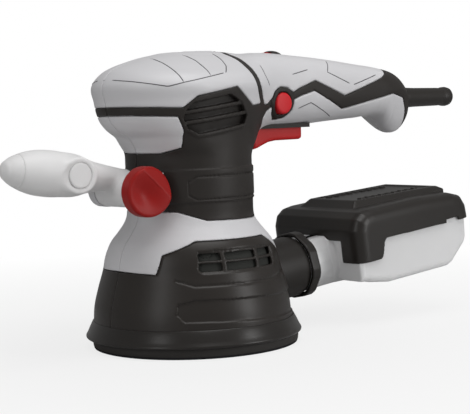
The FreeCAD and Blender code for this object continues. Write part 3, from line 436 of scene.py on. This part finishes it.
shell_grey = moulded("shell_grey", (0.60, 0.595, 0.61), 0.42, coat=0.03, gloss=0.4)
soft_grip = moulded("soft_grip", (0.0215, 0.0182, 0.016), 0.5, grain=2200, depth=0.9, gloss=0.28)
skirt_black = moulded("skirt_black", (0.0215, 0.018, 0.0155), 0.38, gloss=0.3)


def build_left_shells():
    """The layers of a half, as (name, field, field without the button's hole, lowest corner, sample step)."""
    layers = []
    bounds_of = {"head_shell": ((-62, -45, 112), (46, 0, 180), 0.6),
                 "handle_shell": ((12, -30, 118), (182, 0, 180), 0.65),
                 "cone_shell": ((-58, -58, 44), (58, 0, 84), 0.6),
                 "barrel_grip": ((-62, -46, 74), (50, 0, 180), 0.6),
                 "handle_grip": ((10, -30, 116), (190, 0, 180), 0.65),
                 "skirt": ((-64, -64, 14), (64, 0, 68), 0.65)}
    for name, (low, high, step) in bounds_of.items():
        x, y, z = lattice(low, high, step)
        body = even(housing_form(x, y, z), step)
        shell = np.maximum(np.maximum(body, -(body + wall)), y + 0.1)
        trigger_slot = np.maximum(slab(x, 42, 86.6), np.maximum(slab(y, -9.7, 9.7), slab(z, 60, 142)))
        grip, skirt = grip_outline(x, z), skirt_outline(x, z)
        if name in ("head_shell", "handle_shell", "cone_shell"):
            field = carve(shell, np.maximum(grip - skin_gap, -(body + 1.7)), 0.6)
            field = carve(field, skirt - skin_gap, 0.6)
            field = np.maximum(field, -intake_outline(x, z))
            neck_x = np.interp(z, (130, 143, 150, 156, 163.5, 170.4, 176, 180),
                               (38, 37.2, 34.2, 31.4, 29.6, 27.4, 22.6, 22))
            if name == "head_shell":
                field = np.maximum(np.maximum(field, x - neck_x), 113 - z)
            elif name == "handle_shell":
                field = np.maximum(field, neck_x - x)
            else:
                field = np.maximum(field, z - 83.5)
        elif name == "skirt":
            field = np.maximum(shell, skirt)
        else:
            field = np.maximum(np.maximum(body + 0.05, -(body + 1.4)), np.maximum(grip, y + 0.1))
            field = np.maximum(field, (x - 48) if name == "barrel_grip" else (48 - x))
        button = np.hypot(x - 58.8, z - 143.3) - 7.1
        dial = np.maximum(slab(x, 51.2, 72.8), np.maximum(slab(y, -3.8, 3.8), 164 - z))
        if name.startswith("handle"):
            field = np.maximum(field, np.maximum(-dial, -trigger_slot))
        if name == "barrel_grip":
            field = np.maximum(field, -trigger_slot)
        field = details(name, field, body, x, y, z)
        near = field
        if name == "handle_grip":
            collar = np.maximum(np.abs(button - 1.1) - 1.1, np.maximum(body - 0.7, -(body + 1)))
            near = melt(field, np.maximum(collar, y + 0.1), 0.5)
        if name.startswith("handle"):
            near = np.maximum(near, -button)
        layers.append((name, near, field, low, step))
    return layers


def details(name, field, body, x, y, z):
    """Relief of one layer: intake slats, barrel band and panel, skirt vents."""
    if name == "barrel_grip":
        band = slab(z, 87.3, 106.6)
        field = melt(field, np.maximum(np.maximum(np.maximum(body - 0.8, -(body + 1)), band), y + 0.1), 0.5)
        panel = outline(x, z, [(-23.4, 91.4), (-23.4, 99.6), (-19, 102.8), (44, 102.8), (44, 88.6), (-19.4, 88.6)])
        field = carve(field, np.maximum(np.maximum(panel, -panel - 0.9), -(body - 0.1)), 0.3)
        intake = intake_outline(x, z)
        field = np.maximum(field, -intake)
        lip = trace(x, z, [(-25, 129), (-19.6, 126), (15.6, 131)]) - 1.0
        lip = np.maximum(lip, np.maximum(body - 0.6, -(body + 1)))
        field = melt(field, np.maximum(lip, y + 0.1), 0.6)
        # painted shade: a closed black floor 4 to 5.2 mm deep stands where the open intake shows only shade
        intake_shade_floor = np.maximum(np.maximum(body + 4.0, -(body + 5.2)), intake - 2.0)
        walls = np.maximum(np.abs(intake - 0.9) - 0.9, np.maximum(body + 0.9, -(body + 5.2)))
        slats = np.minimum(trace(x, z, [(-29, 139.6), (13, 144.6)]), trace(x, z, [(-27, 133.6), (18, 138.8)]))
        slats = slats - 1.15
        slats = np.maximum(slats, np.maximum(np.maximum(body + 0.9, -(body + 5)), intake - 1.0))
        inner = np.minimum(np.minimum(intake_shade_floor, walls), slats)
        field = np.minimum(field, np.maximum(inner, y + 0.1))
    if name == "skirt":
        panel = outline(x, z, [(-42.6, 25), (-41, 31), (-33, 33.2), (33, 31.6), (90, 30), (90, 17.8), (35, 18.6),
                               (-39.6, 21)])
        field = carve(field, np.maximum(panel, -(body + 1.0)), 0.5)
        crease = trace(x, z, [(-39, 44), (-32, 41), (0, 40.6), (24, 41.4), (40, 44)]) - 0.6
        field = carve(field, np.maximum(crease, -(body + 0.6)), 0.4)
        frame_edge = outline(x, z, [(-28.6, 49.6), (-26.4, 59.6), (-14, 60.4), (14, 60.4), (25.6, 59), (26.8, 55),
                                    (24.6, 48.8), (10, 47.4), (-26, 47.6)])
        field = carve(field, np.maximum(frame_edge, -(body + 0.8)), 0.6)
        for low, high in ((48.6, 53.0), (54.6, 58.8)):
            for left, end in ((-27.4, -14.7), (-12, 9.0), (11.8, 24.8)):
                vent = np.maximum(slab(x, left, end), slab(z, low, high))
                field = np.maximum(field, -np.maximum(vent, y + 20))
    return field


for name, near, far, low, step in build_left_shells():
    tone, finish = {"barrel_grip": (soft_grip, "soft_grip"), "handle_grip": (soft_grip, "soft_grip"),
                    "skirt": (skirt_black, "black_plastic")}.get(name, (shell_grey, "grey_shell"))
    stands_for = {"head_shell": "housing", "barrel_grip": "grip", "skirt": "skirt"}.get(name)
    for side in ("left", "right"):
        field = far if side == "right" else near
        piece = field_piece(name + "_" + side, field, low, step, tone, "housing", side == "right")
        if stands_for:
            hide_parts(stands_for + "_" + side)


# ---- mould lines ---------------------------------------------------------------------------------
# Thin moulded creases divide the head's top into fields and run over the handle's sides.  Each is a
# fine dark tube, painted crease shade, lying just in the shell's surface; both halves have the same ones.
head_lines = [[(-58.2, 159.8), (-56.1, 159), (-46.5, 156.6), (-38.7, 154.8), (-30, 156.8), (-12.1, 159.9),
               (0.4, 161.9)],
              [(-31.2, 171.8), (-31.1, 167.7), (-30.9, 162.1), (-30, 156.8)],
              [(-11.9, 173.5), (-10.2, 169.8), (-10.4, 164.8), (-11.2, 160.2)],
              [(10.8, 174.3), (10.2, 170.3), (8, 165.9), (1.9, 161.9)]]
handle_lines = [[(41.9, 167.3), (43, 161.1), (46.4, 153.7)], [(67.8, 160.9), (83, 163.9)],
                [(105.2, 169.8), (99.4, 162.2), (117.9, 154.6)], [(121, 153.8), (144.5, 160.1)],
                [(72.8, 139.7), (83.4, 143.2), (105.4, 133.8)]]
line_r = 0.33
# painted shade: the crease tubes' dark colour stands in for the shade that falls in each thin groove
painted_crease_shade = moulded("painted_crease_shade", (0.085, 0.085, 0.09), 0.7, gloss=0.2)


def surface_y(x, z, depth):
    """Where the left half's surface, sunk by depth, lies at a side-view point."""
    near, far = -70.0, 0.0
    for _ in range(30):
        y = (near + far) / 2
        where = [np.array([v], np.float32) for v in (x, y, z)]
        near, far = (y, far) if housing_form(*where)[0] > -depth else (near, y)
    return y


def laid_lines(name, routes, side):
    """Fine dark tubes along side-view routes, laid in the shell's surface as painted shade in the creases."""
    corners, faces = [], []
    for route in routes:
        stops = [0.0]
        for (x0, z0), (x1, z1) in zip(route, route[1:]):
            stops.append(stops[-1] + math.hypot(x1 - x0, z1 - z0))
        count = max(3, round(stops[-1] / 1.2))
        points = []
        for s in np.linspace(0, stops[-1], count):
            x, z = np.interp(s, stops, [q[0] for q in route]), np.interp(s, stops, [q[1] for q in route])
            points.append(Vector((x, surface_y(x, z, 0.12) * side, z)))
        first = len(corners)
        for i, point in enumerate(points):
            way = (points[min(i + 1, count - 1)] - points[max(i - 1, 0)]).normalized()
            out = way.cross(Vector((0, 0, 1))).normalized()
            over = way.cross(out)
            taper = line_r * (0.3 if i in (0, count - 1) else 1)
            for k in range(6):
                a = math.pi / 3 * k
                corners.append((point + out * (taper * math.cos(a)) + over * (taper * math.sin(a))) * mm)
        for i in range(count - 1):
            for k in range(6):
                a, b = first + 6 * i + k, first + 6 * i + (k + 1) % 6
                faces.append((a, b, b + 6, a + 6))
        faces.append(tuple(first + k for k in range(5, -1, -1)))
        faces.append(tuple(first + 6 * (count - 1) + k for k in range(6)))
    mesh = bpy.data.meshes.new(name)
    mesh.from_pydata(corners, [], faces)
    for face in mesh.polygons:
        face.use_smooth = True
    piece = bpy.data.objects.new(name, mesh)
    mesh.materials.append(painted_crease_shade)
    bpy.context.scene.collection.objects.link(piece)
    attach(piece, "housing")


for side, word in ((1, "left"), (-1, "right")):
    laid_lines("head_lines_" + word, head_lines, side)
    laid_lines("handle_lines_" + word, handle_lines, side)

# ---- vent shade sheet and dial hood --------------------------------------------------------------
# A fine dark sheet with a woven grain is held behind the skirt's vents; its dark colour is painted
# shade inside them.  On the handle's top a small black hood covers the rear half of the red speed wheel.
# painted shade: the vent sheet's dark colour stands in for the shade inside the skirt's vents
painted_vent_shade = moulded("painted_vent_shade", (0.028, 0.029, 0.026), 0.8, grain=900, depth=2.5, gloss=0.3)
vent_shade_low, vent_shade_step = (-31, -64, 45), 0.8
gx, gy, gz = lattice(vent_shade_low, (30, -20, 63), vent_shade_step)
vent_shade_body = even(lower_form(gx, gy, gz), vent_shade_step)
vent_shade_field = np.maximum(slab(gx, -29.5, 27.5), slab(gz, 46.5, 61.5))
vent_shade_field = np.maximum(slab(vent_shade_body, -4.4, -3.2), vent_shade_field)
for side in ("left", "right"):
    field_piece("vent_shade_sheet_" + side, vent_shade_field, vent_shade_low, vent_shade_step, painted_vent_shade, "housing",
                side == "right")

dial_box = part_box("speed_dial")
dial_x, dial_z = (dial_box[0].x + dial_box[1].x) / 2 / mm, (dial_box[0].z + dial_box[1].z) / 2 / mm
dial_r = (dial_box[1].x - dial_box[0].x) / 2 / mm
hood_low, hood_step = (dial_x - 2, -9, dial_z + 4), 0.4
hx, hy, hz = lattice(hood_low, (dial_x + 17, 9, dial_z + 14), hood_step)
hood_field = np.sqrt(((hx - dial_x - 6) / 8.5) ** 2 + (hy / 6) ** 2 + ((hz - dial_z - 7.4) / 4.6) ** 2) - 1
hood_field = np.maximum(hood_field * 5, dial_x - hx)
hood_wheel = np.maximum(np.hypot(hx - dial_x, hz - dial_z) - dial_r - 0.5, np.abs(hy) - 4)
hood_field = np.maximum(hood_field, -hood_wheel)
field_piece("dial_hood", hood_field, hood_low, hood_step, skirt_black, "housing")

# ---- skirt lip and dust outlet -------------------------------------------------------------------
# A soft rubber lip plugs into the skirt and flares over the edge of the pad.  The dust outlet is a
# black moulded pipe that leaves the back of the skirt and slopes up a little to the dust box.
port_tilt = math.radians(6.5)
port_frame = Matrix.Translation(Vector((55, 0, 36)) * mm) @ Matrix.Rotation(-port_tilt, 4, "Y")
along_port = port_frame @ Matrix.Rotation(math.pi / 2, 4, "Y")


def turned_piece(name, profile, material, body, place=Matrix(), sides=128):
    """A turned piece from a closed (radius, height) outline in millimetres, with softened edges."""
    mesh = bpy.data.meshes.new(name)
    corners, faces = [], []
    for i in range(sides):
        a = 2 * math.pi * i / sides
        corners += [(r * math.cos(a) * mm, r * math.sin(a) * mm, h * mm) for r, h in profile]
    n = len(profile)
    for i in range(sides):
        for k in range(n):
            a, b = i * n + k, i * n + (k + 1) % n
            c, d = ((i + 1) % sides) * n + (k + 1) % n, ((i + 1) % sides) * n + k
            faces.append((a, d, c, b))
    mesh.from_pydata(corners, [], faces)
    mesh.transform(place)
    piece = bpy.data.objects.new(name, mesh)
    mesh.materials.append(material)
    bpy.context.scene.collection.objects.link(piece)
    soften(piece, 0.35)
    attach(piece, body)
    return piece


def soften(piece, width, angle=28):
    """Rounds the sharp edges of a piece and shades it smooth."""
    for face in piece.data.polygons:
        face.use_smooth = True
    edge = piece.modifiers.new("soft_edges", "BEVEL")
    edge.width, edge.segments, edge.limit_method = width * mm, 2, "ANGLE"
    edge.angle_limit = math.radians(angle)
    even_light = piece.modifiers.new("even_light", "WEIGHTED_NORMAL")
    even_light.keep_sharp = True


lip_rubber = moulded("lip_rubber", (0.0145, 0.0122, 0.0105), 0.3, grain=1800, depth=0.6, gloss=0.4)
ring_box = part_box("brake_ring")
lip_r = ring_box[1].x / mm
lip_z = ring_box[0].z / mm
lip_profile = [(lip_r - 1.2, lip_z), (lip_r - 0.2, lip_z + 0.6), (lip_r, lip_z + 1.6), (lip_r - 0.9, lip_z + 3),
               (lip_r - 1.6, lip_z + 4.4), (lip_r - 2.6, lip_z + 6.6), (lip_r - 3.6, lip_z + 8.6),
               (lip_r - 4.5, lip_z + 10.3), (lip_r - 9, lip_z + 10.3), (lip_r - 8, lip_z + 8.4),
               (lip_r - 4.2, lip_z + 5), (lip_r - 1.9, lip_z + 1.8), (lip_r - 1.9, lip_z)]
ring = turned_piece("skirt_lip", lip_profile, lip_rubber, "housing")
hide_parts("brake_ring")

port_black = moulded("port_black", (0.0165, 0.014, 0.012), 0.45, gloss=0.3)
pipe_profile = [(19.4, -4), (19.4, 22), (19.0, 23), (19.0, 25), (17.4, 25.3), (17.2, 24), (17.2, -4)]
pipe = turned_piece("dust_pipe", pipe_profile, port_black, "housing", along_port)
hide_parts("dust_outlet")

# ---- cord sleeve ---------------------------------------------------------------------------------
# A long soft rubber sleeve sits in the end of the handle and keeps the lead from kinking.  It tapers
# to a rounded bead, and its bore is open because the lead isn't fitted.
sleeve_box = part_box("cord_sleeve")
sleeve_start = 185.2
sleeve_run = sleeve_box[1].x / mm - sleeve_start
sleeve_place = Matrix.Translation(Vector((sleeve_start * mm, 0, (sleeve_box[0].z + sleeve_box[1].z) / 2)))
sleeve_profile = [(3.6, -4), (6.8, -4), (7.0, 1), (6.8, 3), (6.5, 10), (6.2, sleeve_run - 12),
                  (6.0, sleeve_run - 9), (6.3, sleeve_run - 8), (6.6, sleeve_run - 6.5), (6.7, sleeve_run - 4),
                  (6.2, sleeve_run - 1.6),
                  (5.3, sleeve_run - 0.4), (4.2, sleeve_run), (3.6, sleeve_run)]
sleeve_rubber = moulded("sleeve_rubber", (0.0165, 0.014, 0.012), 0.45, grain=1800, depth=0.8, gloss=0.35)
sleeve = turned_piece("cord_boot", sleeve_profile, sleeve_rubber, "housing",
                      sleeve_place @ Matrix.Rotation(math.pi / 2, 4, "Y"), 64)
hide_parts("cord_sleeve")

# ---- front side handle ---------------------------------------------------------------------------
# A pale grey moulded grip with a cap on its tip, plugged bosses on both sides, and a round eye that
# the clamp bolt holds in front of the barrel.  It is one moulding with a separate cap.
clamp_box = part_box("clamp_knob")
clamp_x, clamp_z = (clamp_box[0].x + clamp_box[1].x) / 2 / mm, (clamp_box[0].z + clamp_box[1].z) / 2 / mm
side_tilt, side_length, side_rise = math.radians(6.9), 79.0, 6.8
side_frame = (Matrix.Translation(Vector((clamp_x, 0, clamp_z + side_rise)) * mm)
              @ Matrix.Rotation(-math.pi / 2 + side_tilt, 4, "Y"))
side_grey = moulded("side_grey", (0.74, 0.735, 0.735), 0.45, gloss=0.3)


def milky(material, weight, scale):
    """Lets light scatter a little way into a pale plastic."""
    face = material.node_tree.nodes["Principled BSDF"]
    face.inputs["Subsurface Weight"].default_value = weight
    face.inputs["Subsurface Radius"].default_value = (1, 1, 1)
    face.inputs["Subsurface Scale"].default_value = scale


milky(side_grey, 0.25, 0.004)


def side_grip_fields():
    """The grip drawn along its own axis: x and y across, z from the clamp towards the tip."""
    low, step = (-20, -17, -14), 0.7
    x, y, z = lattice(low, (22, 17, 82), step)
    run = (0, 8, 14, 20, 27, 34, 41, 47, 53, 58, 63, 68, 72, 75.5, 78, 79)
    thick = ramp(z, run, (6, 7, 7.8, 8.8, 10.3, 11.7, 12.7, 13.2, 13.1, 12.7, 11.7, 10.1, 8.4, 6.2, 3.6, 0.6))
    grip = np.maximum(np.hypot(x, y) - thick, np.maximum(z - side_length, -z - 4))
    grip = even(grip, step)
    boss = np.maximum(np.hypot(x, z - 35) - 10.3, np.abs(y) - 12.4)
    body = melt(grip, boss, 5)
    # the eye lies where the clamp bolt passes, below the grip's own axis
    tilt = Matrix.Rotation(-math.pi / 2 + side_tilt, 3, "Y").inverted() @ Vector((0, 0, -side_rise))
    eye = np.maximum(np.hypot(x - tilt.x, z - tilt.z) - 9.6, np.abs(y) - 14.0)
    body = melt(body, eye, 3)
    body = np.maximum(body, -(np.hypot(x - tilt.x, z - tilt.z) - 4.1))
    # a soft dish round the boss, deeper on its lower outer side, and a flat disc in it
    dish = np.sqrt(((x + 2.0) / 10) ** 2 + ((z - 37.2) / 10.4) ** 2 + ((np.abs(y) - 14.2) / 3.2) ** 2) - 1
    body = carve(body, dish * 3.2, 1.6)
    seam = side_length - 9.5
    lap = np.maximum(body + 0.3, slab(z, seam - 2, seam + 1))
    plugs = -melt(-(np.hypot(x, z - 35) - 7.45), -slab(np.abs(y), 9.4, 12.3), 0.6)
    body = carve(body, np.maximum(np.hypot(x, z - 35) - 7.3, 9.6 - np.abs(y)), 0.2)
    return low, step, np.maximum(body, z - seam), np.minimum(np.maximum(body, seam - z), lap), plugs


grip_low, grip_step, grip_field, cap_field, plug_field = side_grip_fields()
for name, field, node in (("side_grip_shell", grip_field, "side_grip"), ("side_tip_cap", cap_field, "side_cap"),
                          ("side_boss_plugs", plug_field, "side_plugs")):
    piece = field_piece(name, field, grip_low, grip_step, side_grey, "side_handle", place=side_frame)
    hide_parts(node)

# ---- clamp knob ----------------------------------------------------------------------------------
# A red moulded hand knob on the clamp bolt.  A straight ridge crosses its face, with a wide scooped
# thumb hollow on one side of it and a plain slope on the other.
red_plastic = moulded("red_plastic", (0.29, 0.0075, 0.006), 0.42, gloss=0.22)
red_button = moulded("red_button", (0.58, 0.012, 0.018), 0.42, gloss=0.25)
knob_out, knob_in = clamp_box[0].y / mm, clamp_box[1].y / mm
knob_r = (clamp_box[1].x - clamp_box[0].x) / 2 / mm


def knob_field():
    """The knob's disc, its face shaped by the ridge, the slope and the hollow."""
    low, step = (clamp_x - 16, knob_out - 1, clamp_z - 16), 0.45
    x, y, z = lattice(low, (clamp_x + 16, knob_in + 1, clamp_z + 16), step)
    a, b = x - clamp_x, z - clamp_z
    turn = math.radians(-42.5)
    along, across = a * math.cos(turn) + b * math.sin(turn), b * math.cos(turn) - a * math.sin(turn)
    ridge = 5.6
    slope = 0.34 * np.clip(across - ridge, 0, 20)
    hollow = 3.1 * np.exp(-((across + 3) / 6.6) ** 2 - ((along + 2) / 9) ** 2)
    scoop = 0.1 * np.clip(ridge - across, 0, 30) + hollow
    face = knob_out + np.where(across > ridge, slope, scoop)
    disc = -melt(-(np.hypot(a, b) - knob_r), -np.maximum((face - y) * 0.8, y - knob_in), 1.8)
    return low, step, disc


knob_low, knob_step, knob_shape = knob_field()
knob = field_piece("hand_knob", knob_shape, knob_low, knob_step, red_plastic, "clamp_knob")
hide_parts("clamp_knob")

# ---- trigger and lock button ---------------------------------------------------------------------
# A long red paddle trigger hangs on a pin at its front end under the handle.  Beside it, on the left,
# a red lock button stands in a black bore.
trigger_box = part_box("trigger")


def trigger_field():
    """The paddle: its side outline drawn from the box's front, rear and foot, with rounded edges."""
    front, rear, foot = trigger_box[0].x / mm, trigger_box[1].x / mm, trigger_box[0].z / mm
    low, step = (front - 1, -11, foot - 1), 0.5
    x, y, z = lattice(low, (rear + 1, 11, foot + 22), step)
    side = outline(x, z, [(front, foot), (front + 4, foot + 0.9), (front + 8.5, foot + 2.7),
                          (front + 13, foot + 4.3), (front + 19, foot + 5.1), (rear - 2, foot + 5.2),
                          (rear - 0.3, foot + 6),
                          (rear, foot + 8), (rear, foot + 13), (rear - 2, foot + 18), (front + 9, foot + 20.6),
                          (front + 2, foot + 20.6), (front + 0.3, foot + 12)])
    return low, step, -melt(-side, -(np.abs(y) - 8.9), 2.4)


red_paddle = moulded("red_paddle", (0.50, 0.012, 0.012), 0.42, gloss=0.25)
paddle_low, paddle_step, paddle_shape = trigger_field()
paddle = field_piece("trigger_paddle", paddle_shape, paddle_low, paddle_step, red_paddle, "trigger")
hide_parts("trigger")

button_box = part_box("lock_button")
button_x, button_z = (button_box[0].x + button_box[1].x) / 2 / mm, (button_box[0].z + button_box[1].z) / 2 / mm
button_face = -button_box[0].y / mm
button_profile = [(0.01, button_face), (4.8, button_face - 0.05), (5.9, button_face - 0.3),
                  (6.5, button_face - 0.9), (6.8, button_face - 2), (6.8, 12), (0.01, 12)]
button_place = Matrix.Translation(Vector((button_x, 0, button_z)) * mm) @ Matrix.Rotation(math.pi / 2, 4, "X")
lock_button = turned_piece("lock_button_cap", button_profile, red_button, "lock_button",
                           button_place, 72)
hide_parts("lock_button")

# ---- dust box ------------------------------------------------------------------------------------
# A milky see-through bin and a black lift-off lid with a skirt that drops over its front corners.
# The lid has a raised stepped panel, and a black ring locks the bin's neck to the outlet.
box_front, box_half = 47.0, 42.6


def bin_fields():
    """The bin: a hollow tapered tray with a round neck, open at the top."""
    low, step = (22, -45, -22), 0.8
    u, y, w = lattice(low, (154, 45, 20), step)
    side = outline(u, w, [(box_front, 16), (box_front, -13.6), (54, -14), (58, -15.4), (74, -18.6),
                          (128.5, -19.6), (133, -18), (146.6, -7), (148.6, -3), (149.6, 14), (149.6, 16)])
    plan = np.maximum(np.abs(y) - (box_half - 2.2), -u + box_front)
    shape = -melt(-side, -plan, 5.0)
    neck = np.maximum(np.hypot(y, w) - 17.9, slab(u, 25, 60))
    shape = melt(shape, neck, 4)
    hollow = -melt(-(side + 1.9), -(plan + 1.9), 4.0)
    hollow = np.minimum(hollow, np.maximum(np.hypot(y, w) - 15.8, slab(u, 20, 62)))
    shape = np.maximum(np.maximum(shape, -hollow), w - 15.6)
    return low, step, np.maximum(shape, 25.4 - u)


def lid_fields():
    """The lid: a rounded cover with hanging front corners, a stepped panel and rows of ribs."""
    low, step = (40, -46, -6), 0.7
    u, y, w = lattice(low, (155, 46, 38), step)
    half = np.abs(y)
    side = outline(u, w, [(46.8, -30), (46.8, 20), (49.5, 27), (55, 30.6), (62, 31.4), (110, 30.6),
                          (138, 28.6), (147, 25.6), (151, 19), (152, 10), (152, -30)])
    plan = half - box_half
    shape = -melt(-side, -plan, 9.0)
    edge = outline(u, w, [(40, -1.2), (64.8, -1.4), (66.4, -0.4), (67.6, 2), (69.6, 9.6), (71.6, 11.2), (156, 9.4),
                          (156, 40), (40, 40)])
    shape = np.maximum(shape, edge)
    shape = carve(shape, np.maximum(np.maximum(half - 24.5, u - 62), w - 12.6), 1.5)
    inner = -melt(-(side + 2.0), -(plan + 2.0), 8.0)
    shape = np.maximum(shape, -np.maximum(inner, w - 28.6))
    # stepped panel on top
    low_panel = outline(u, w, [(60, 26), (60, 31.2), (66.4, 35.8), (140, 32.6), (144.5, 30), (144.5, 24)])
    panel = -melt(-low_panel, -(half - 27.0 + np.clip(w - 30, 0, 9) * 0.9), 0.8)
    rim = np.maximum(outline(u, w, [(69.5, 33), (69.5, 38), (137, 36), (137, 31)]), half - 20.5)
    shape = np.minimum(shape, panel)
    shape = carve(shape, np.maximum(rim, -(panel + 0.9)), 0.6)
    for k in range(9):
        place = 76 + 6.2 * k
        for sign in (1, -1):
            top = 36.0 - 0.043 * (place - 66)
            mark = np.maximum(slab(y * sign, 13.5, 17.5), slab(w, 30, top))
            shape = np.minimum(shape, np.maximum(slab(u, place, place + 3.4), mark))
    notch = np.maximum(np.maximum(slab(u, 128, 139.5), w - 12.2), 38 - half)
    shape = np.maximum(shape, -notch)
    return low, step, shape


def ring_fields():
    """Lock ring: a round sleeve whose outside turns into soft flats."""
    low, step = (22, -24, -24), 0.6
    u, y, w = lattice(low, (35, 24, 24), step)
    turn = np.arctan2(w, y)
    flats = np.abs((turn / (2 * math.pi) * 8 + 0.25) % 1 - 0.5)
    outer = np.maximum(np.hypot(y, w) - 21.6, np.hypot(y, w) * np.cos((0.5 - flats) * 2 * math.pi / 8) - 20.9)
    bore = np.where(u < 26.6, 19.4, 18.5) - np.hypot(y, w)
    return low, step, np.maximum(np.maximum(outer, bore), slab(u, 24.6, 31.6))


bin_white = moulded("bin_white", (0.82, 0.82, 0.825), 0.32, coat=0.1, transmission=0.12)
milky(bin_white, 0.3, 0.006)
lid_black = moulded("lid_black", (0.0175, 0.015, 0.013), 0.38, gloss=0.35)
box_shapes = {"bin_shell": (bin_fields, bin_white, "dust_box", "clear_white", "dust_bin"),
              "lid_shell": (lid_fields, lid_black, "dust_lid", "black_plastic", "dust_lid"),
              "neck_ring": (ring_fields, lid_black, "lock_ring", "black_plastic", "lock_ring")}
for name, (shape_of, tone, body, finish, node) in box_shapes.items():
    low, step, field = shape_of()
    piece = field_piece(name, field, low, step, tone, body, place=port_frame)
    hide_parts(node)

# ---- inner works ---------------------------------------------------------------------------------
# The motor, bearings, fan, switch and filter keep their exact solids.  They are ground steel, cast
# metal, stacked sheet, enamelled copper and filled nylon, and show through the vents and joints.
def metal(name, tone, roughness, grain, anisotropy=0.0):
    """Bare metal with fine tool marks and slow stains."""
    material = moulded(name, tone, roughness, grain=grain, depth=0.7)
    material.node_tree.nodes["Principled BSDF"].inputs["Metallic"].default_value = 1.0
    material.node_tree.nodes["Principled BSDF"].inputs["Anisotropic"].default_value = anisotropy
    return material


ground_steel = metal("ground_steel", (0.55, 0.55, 0.56), 0.28, 2600, 0.3)
cast_alloy = metal("cast_alloy", (0.48, 0.48, 0.49), 0.5, 1100)
stacked_sheet = metal("stacked_sheet", (0.26, 0.26, 0.27), 0.45, 3200, 0.4)
enamelled_copper = metal("enamelled_copper", (0.62, 0.27, 0.12), 0.34, 2200)
filled_nylon = moulded("filled_nylon", (0.03, 0.03, 0.032), 0.55, grain=1600, depth=0.8)
pressed_carbon = moulded("pressed_carbon", (0.012, 0.012, 0.013), 0.6, grain=2800, depth=1.0)
board_green = moulded("board_green", (0.02, 0.12, 0.045), 0.4, grain=700)
closed_foam = moulded("closed_foam", (0.03, 0.027, 0.025), 0.7, grain=1500, depth=3.0, gloss=0.35)
hook_nap = moulded("hook_nap", (0.022, 0.022, 0.024), 0.95, grain=2400, depth=4.0, gloss=0.1)
pleated_paper = moulded("pleated_paper", (0.62, 0.57, 0.46), 0.9, grain=900, depth=1.5, gloss=0.2)
finishes = {
    "steel": ground_steel, "cast_metal": cast_alloy, "lamination": stacked_sheet, "copper": enamelled_copper,
    "inner_plastic": filled_nylon, "carbon": pressed_carbon, "board": board_green, "foam": closed_foam,
    "hook_fabric": hook_nap, "filter_paper": pleated_paper, "rubber": lip_rubber, "black_plastic": lid_black,
    "grey_shell": shell_grey, "red_plastic": red_plastic}
slot_of = {part["node"]: part["material_slot"] for part in frame["record"]["subparts"]}
for name, node in frame["nodes"].items():
    finish = {"speed_dial": red_button, "trigger_seal": soft_grip}.get(name, finishes.get(slot_of[name]))
    for slot in node.material_slots:
        slot.material = finish or slot.material
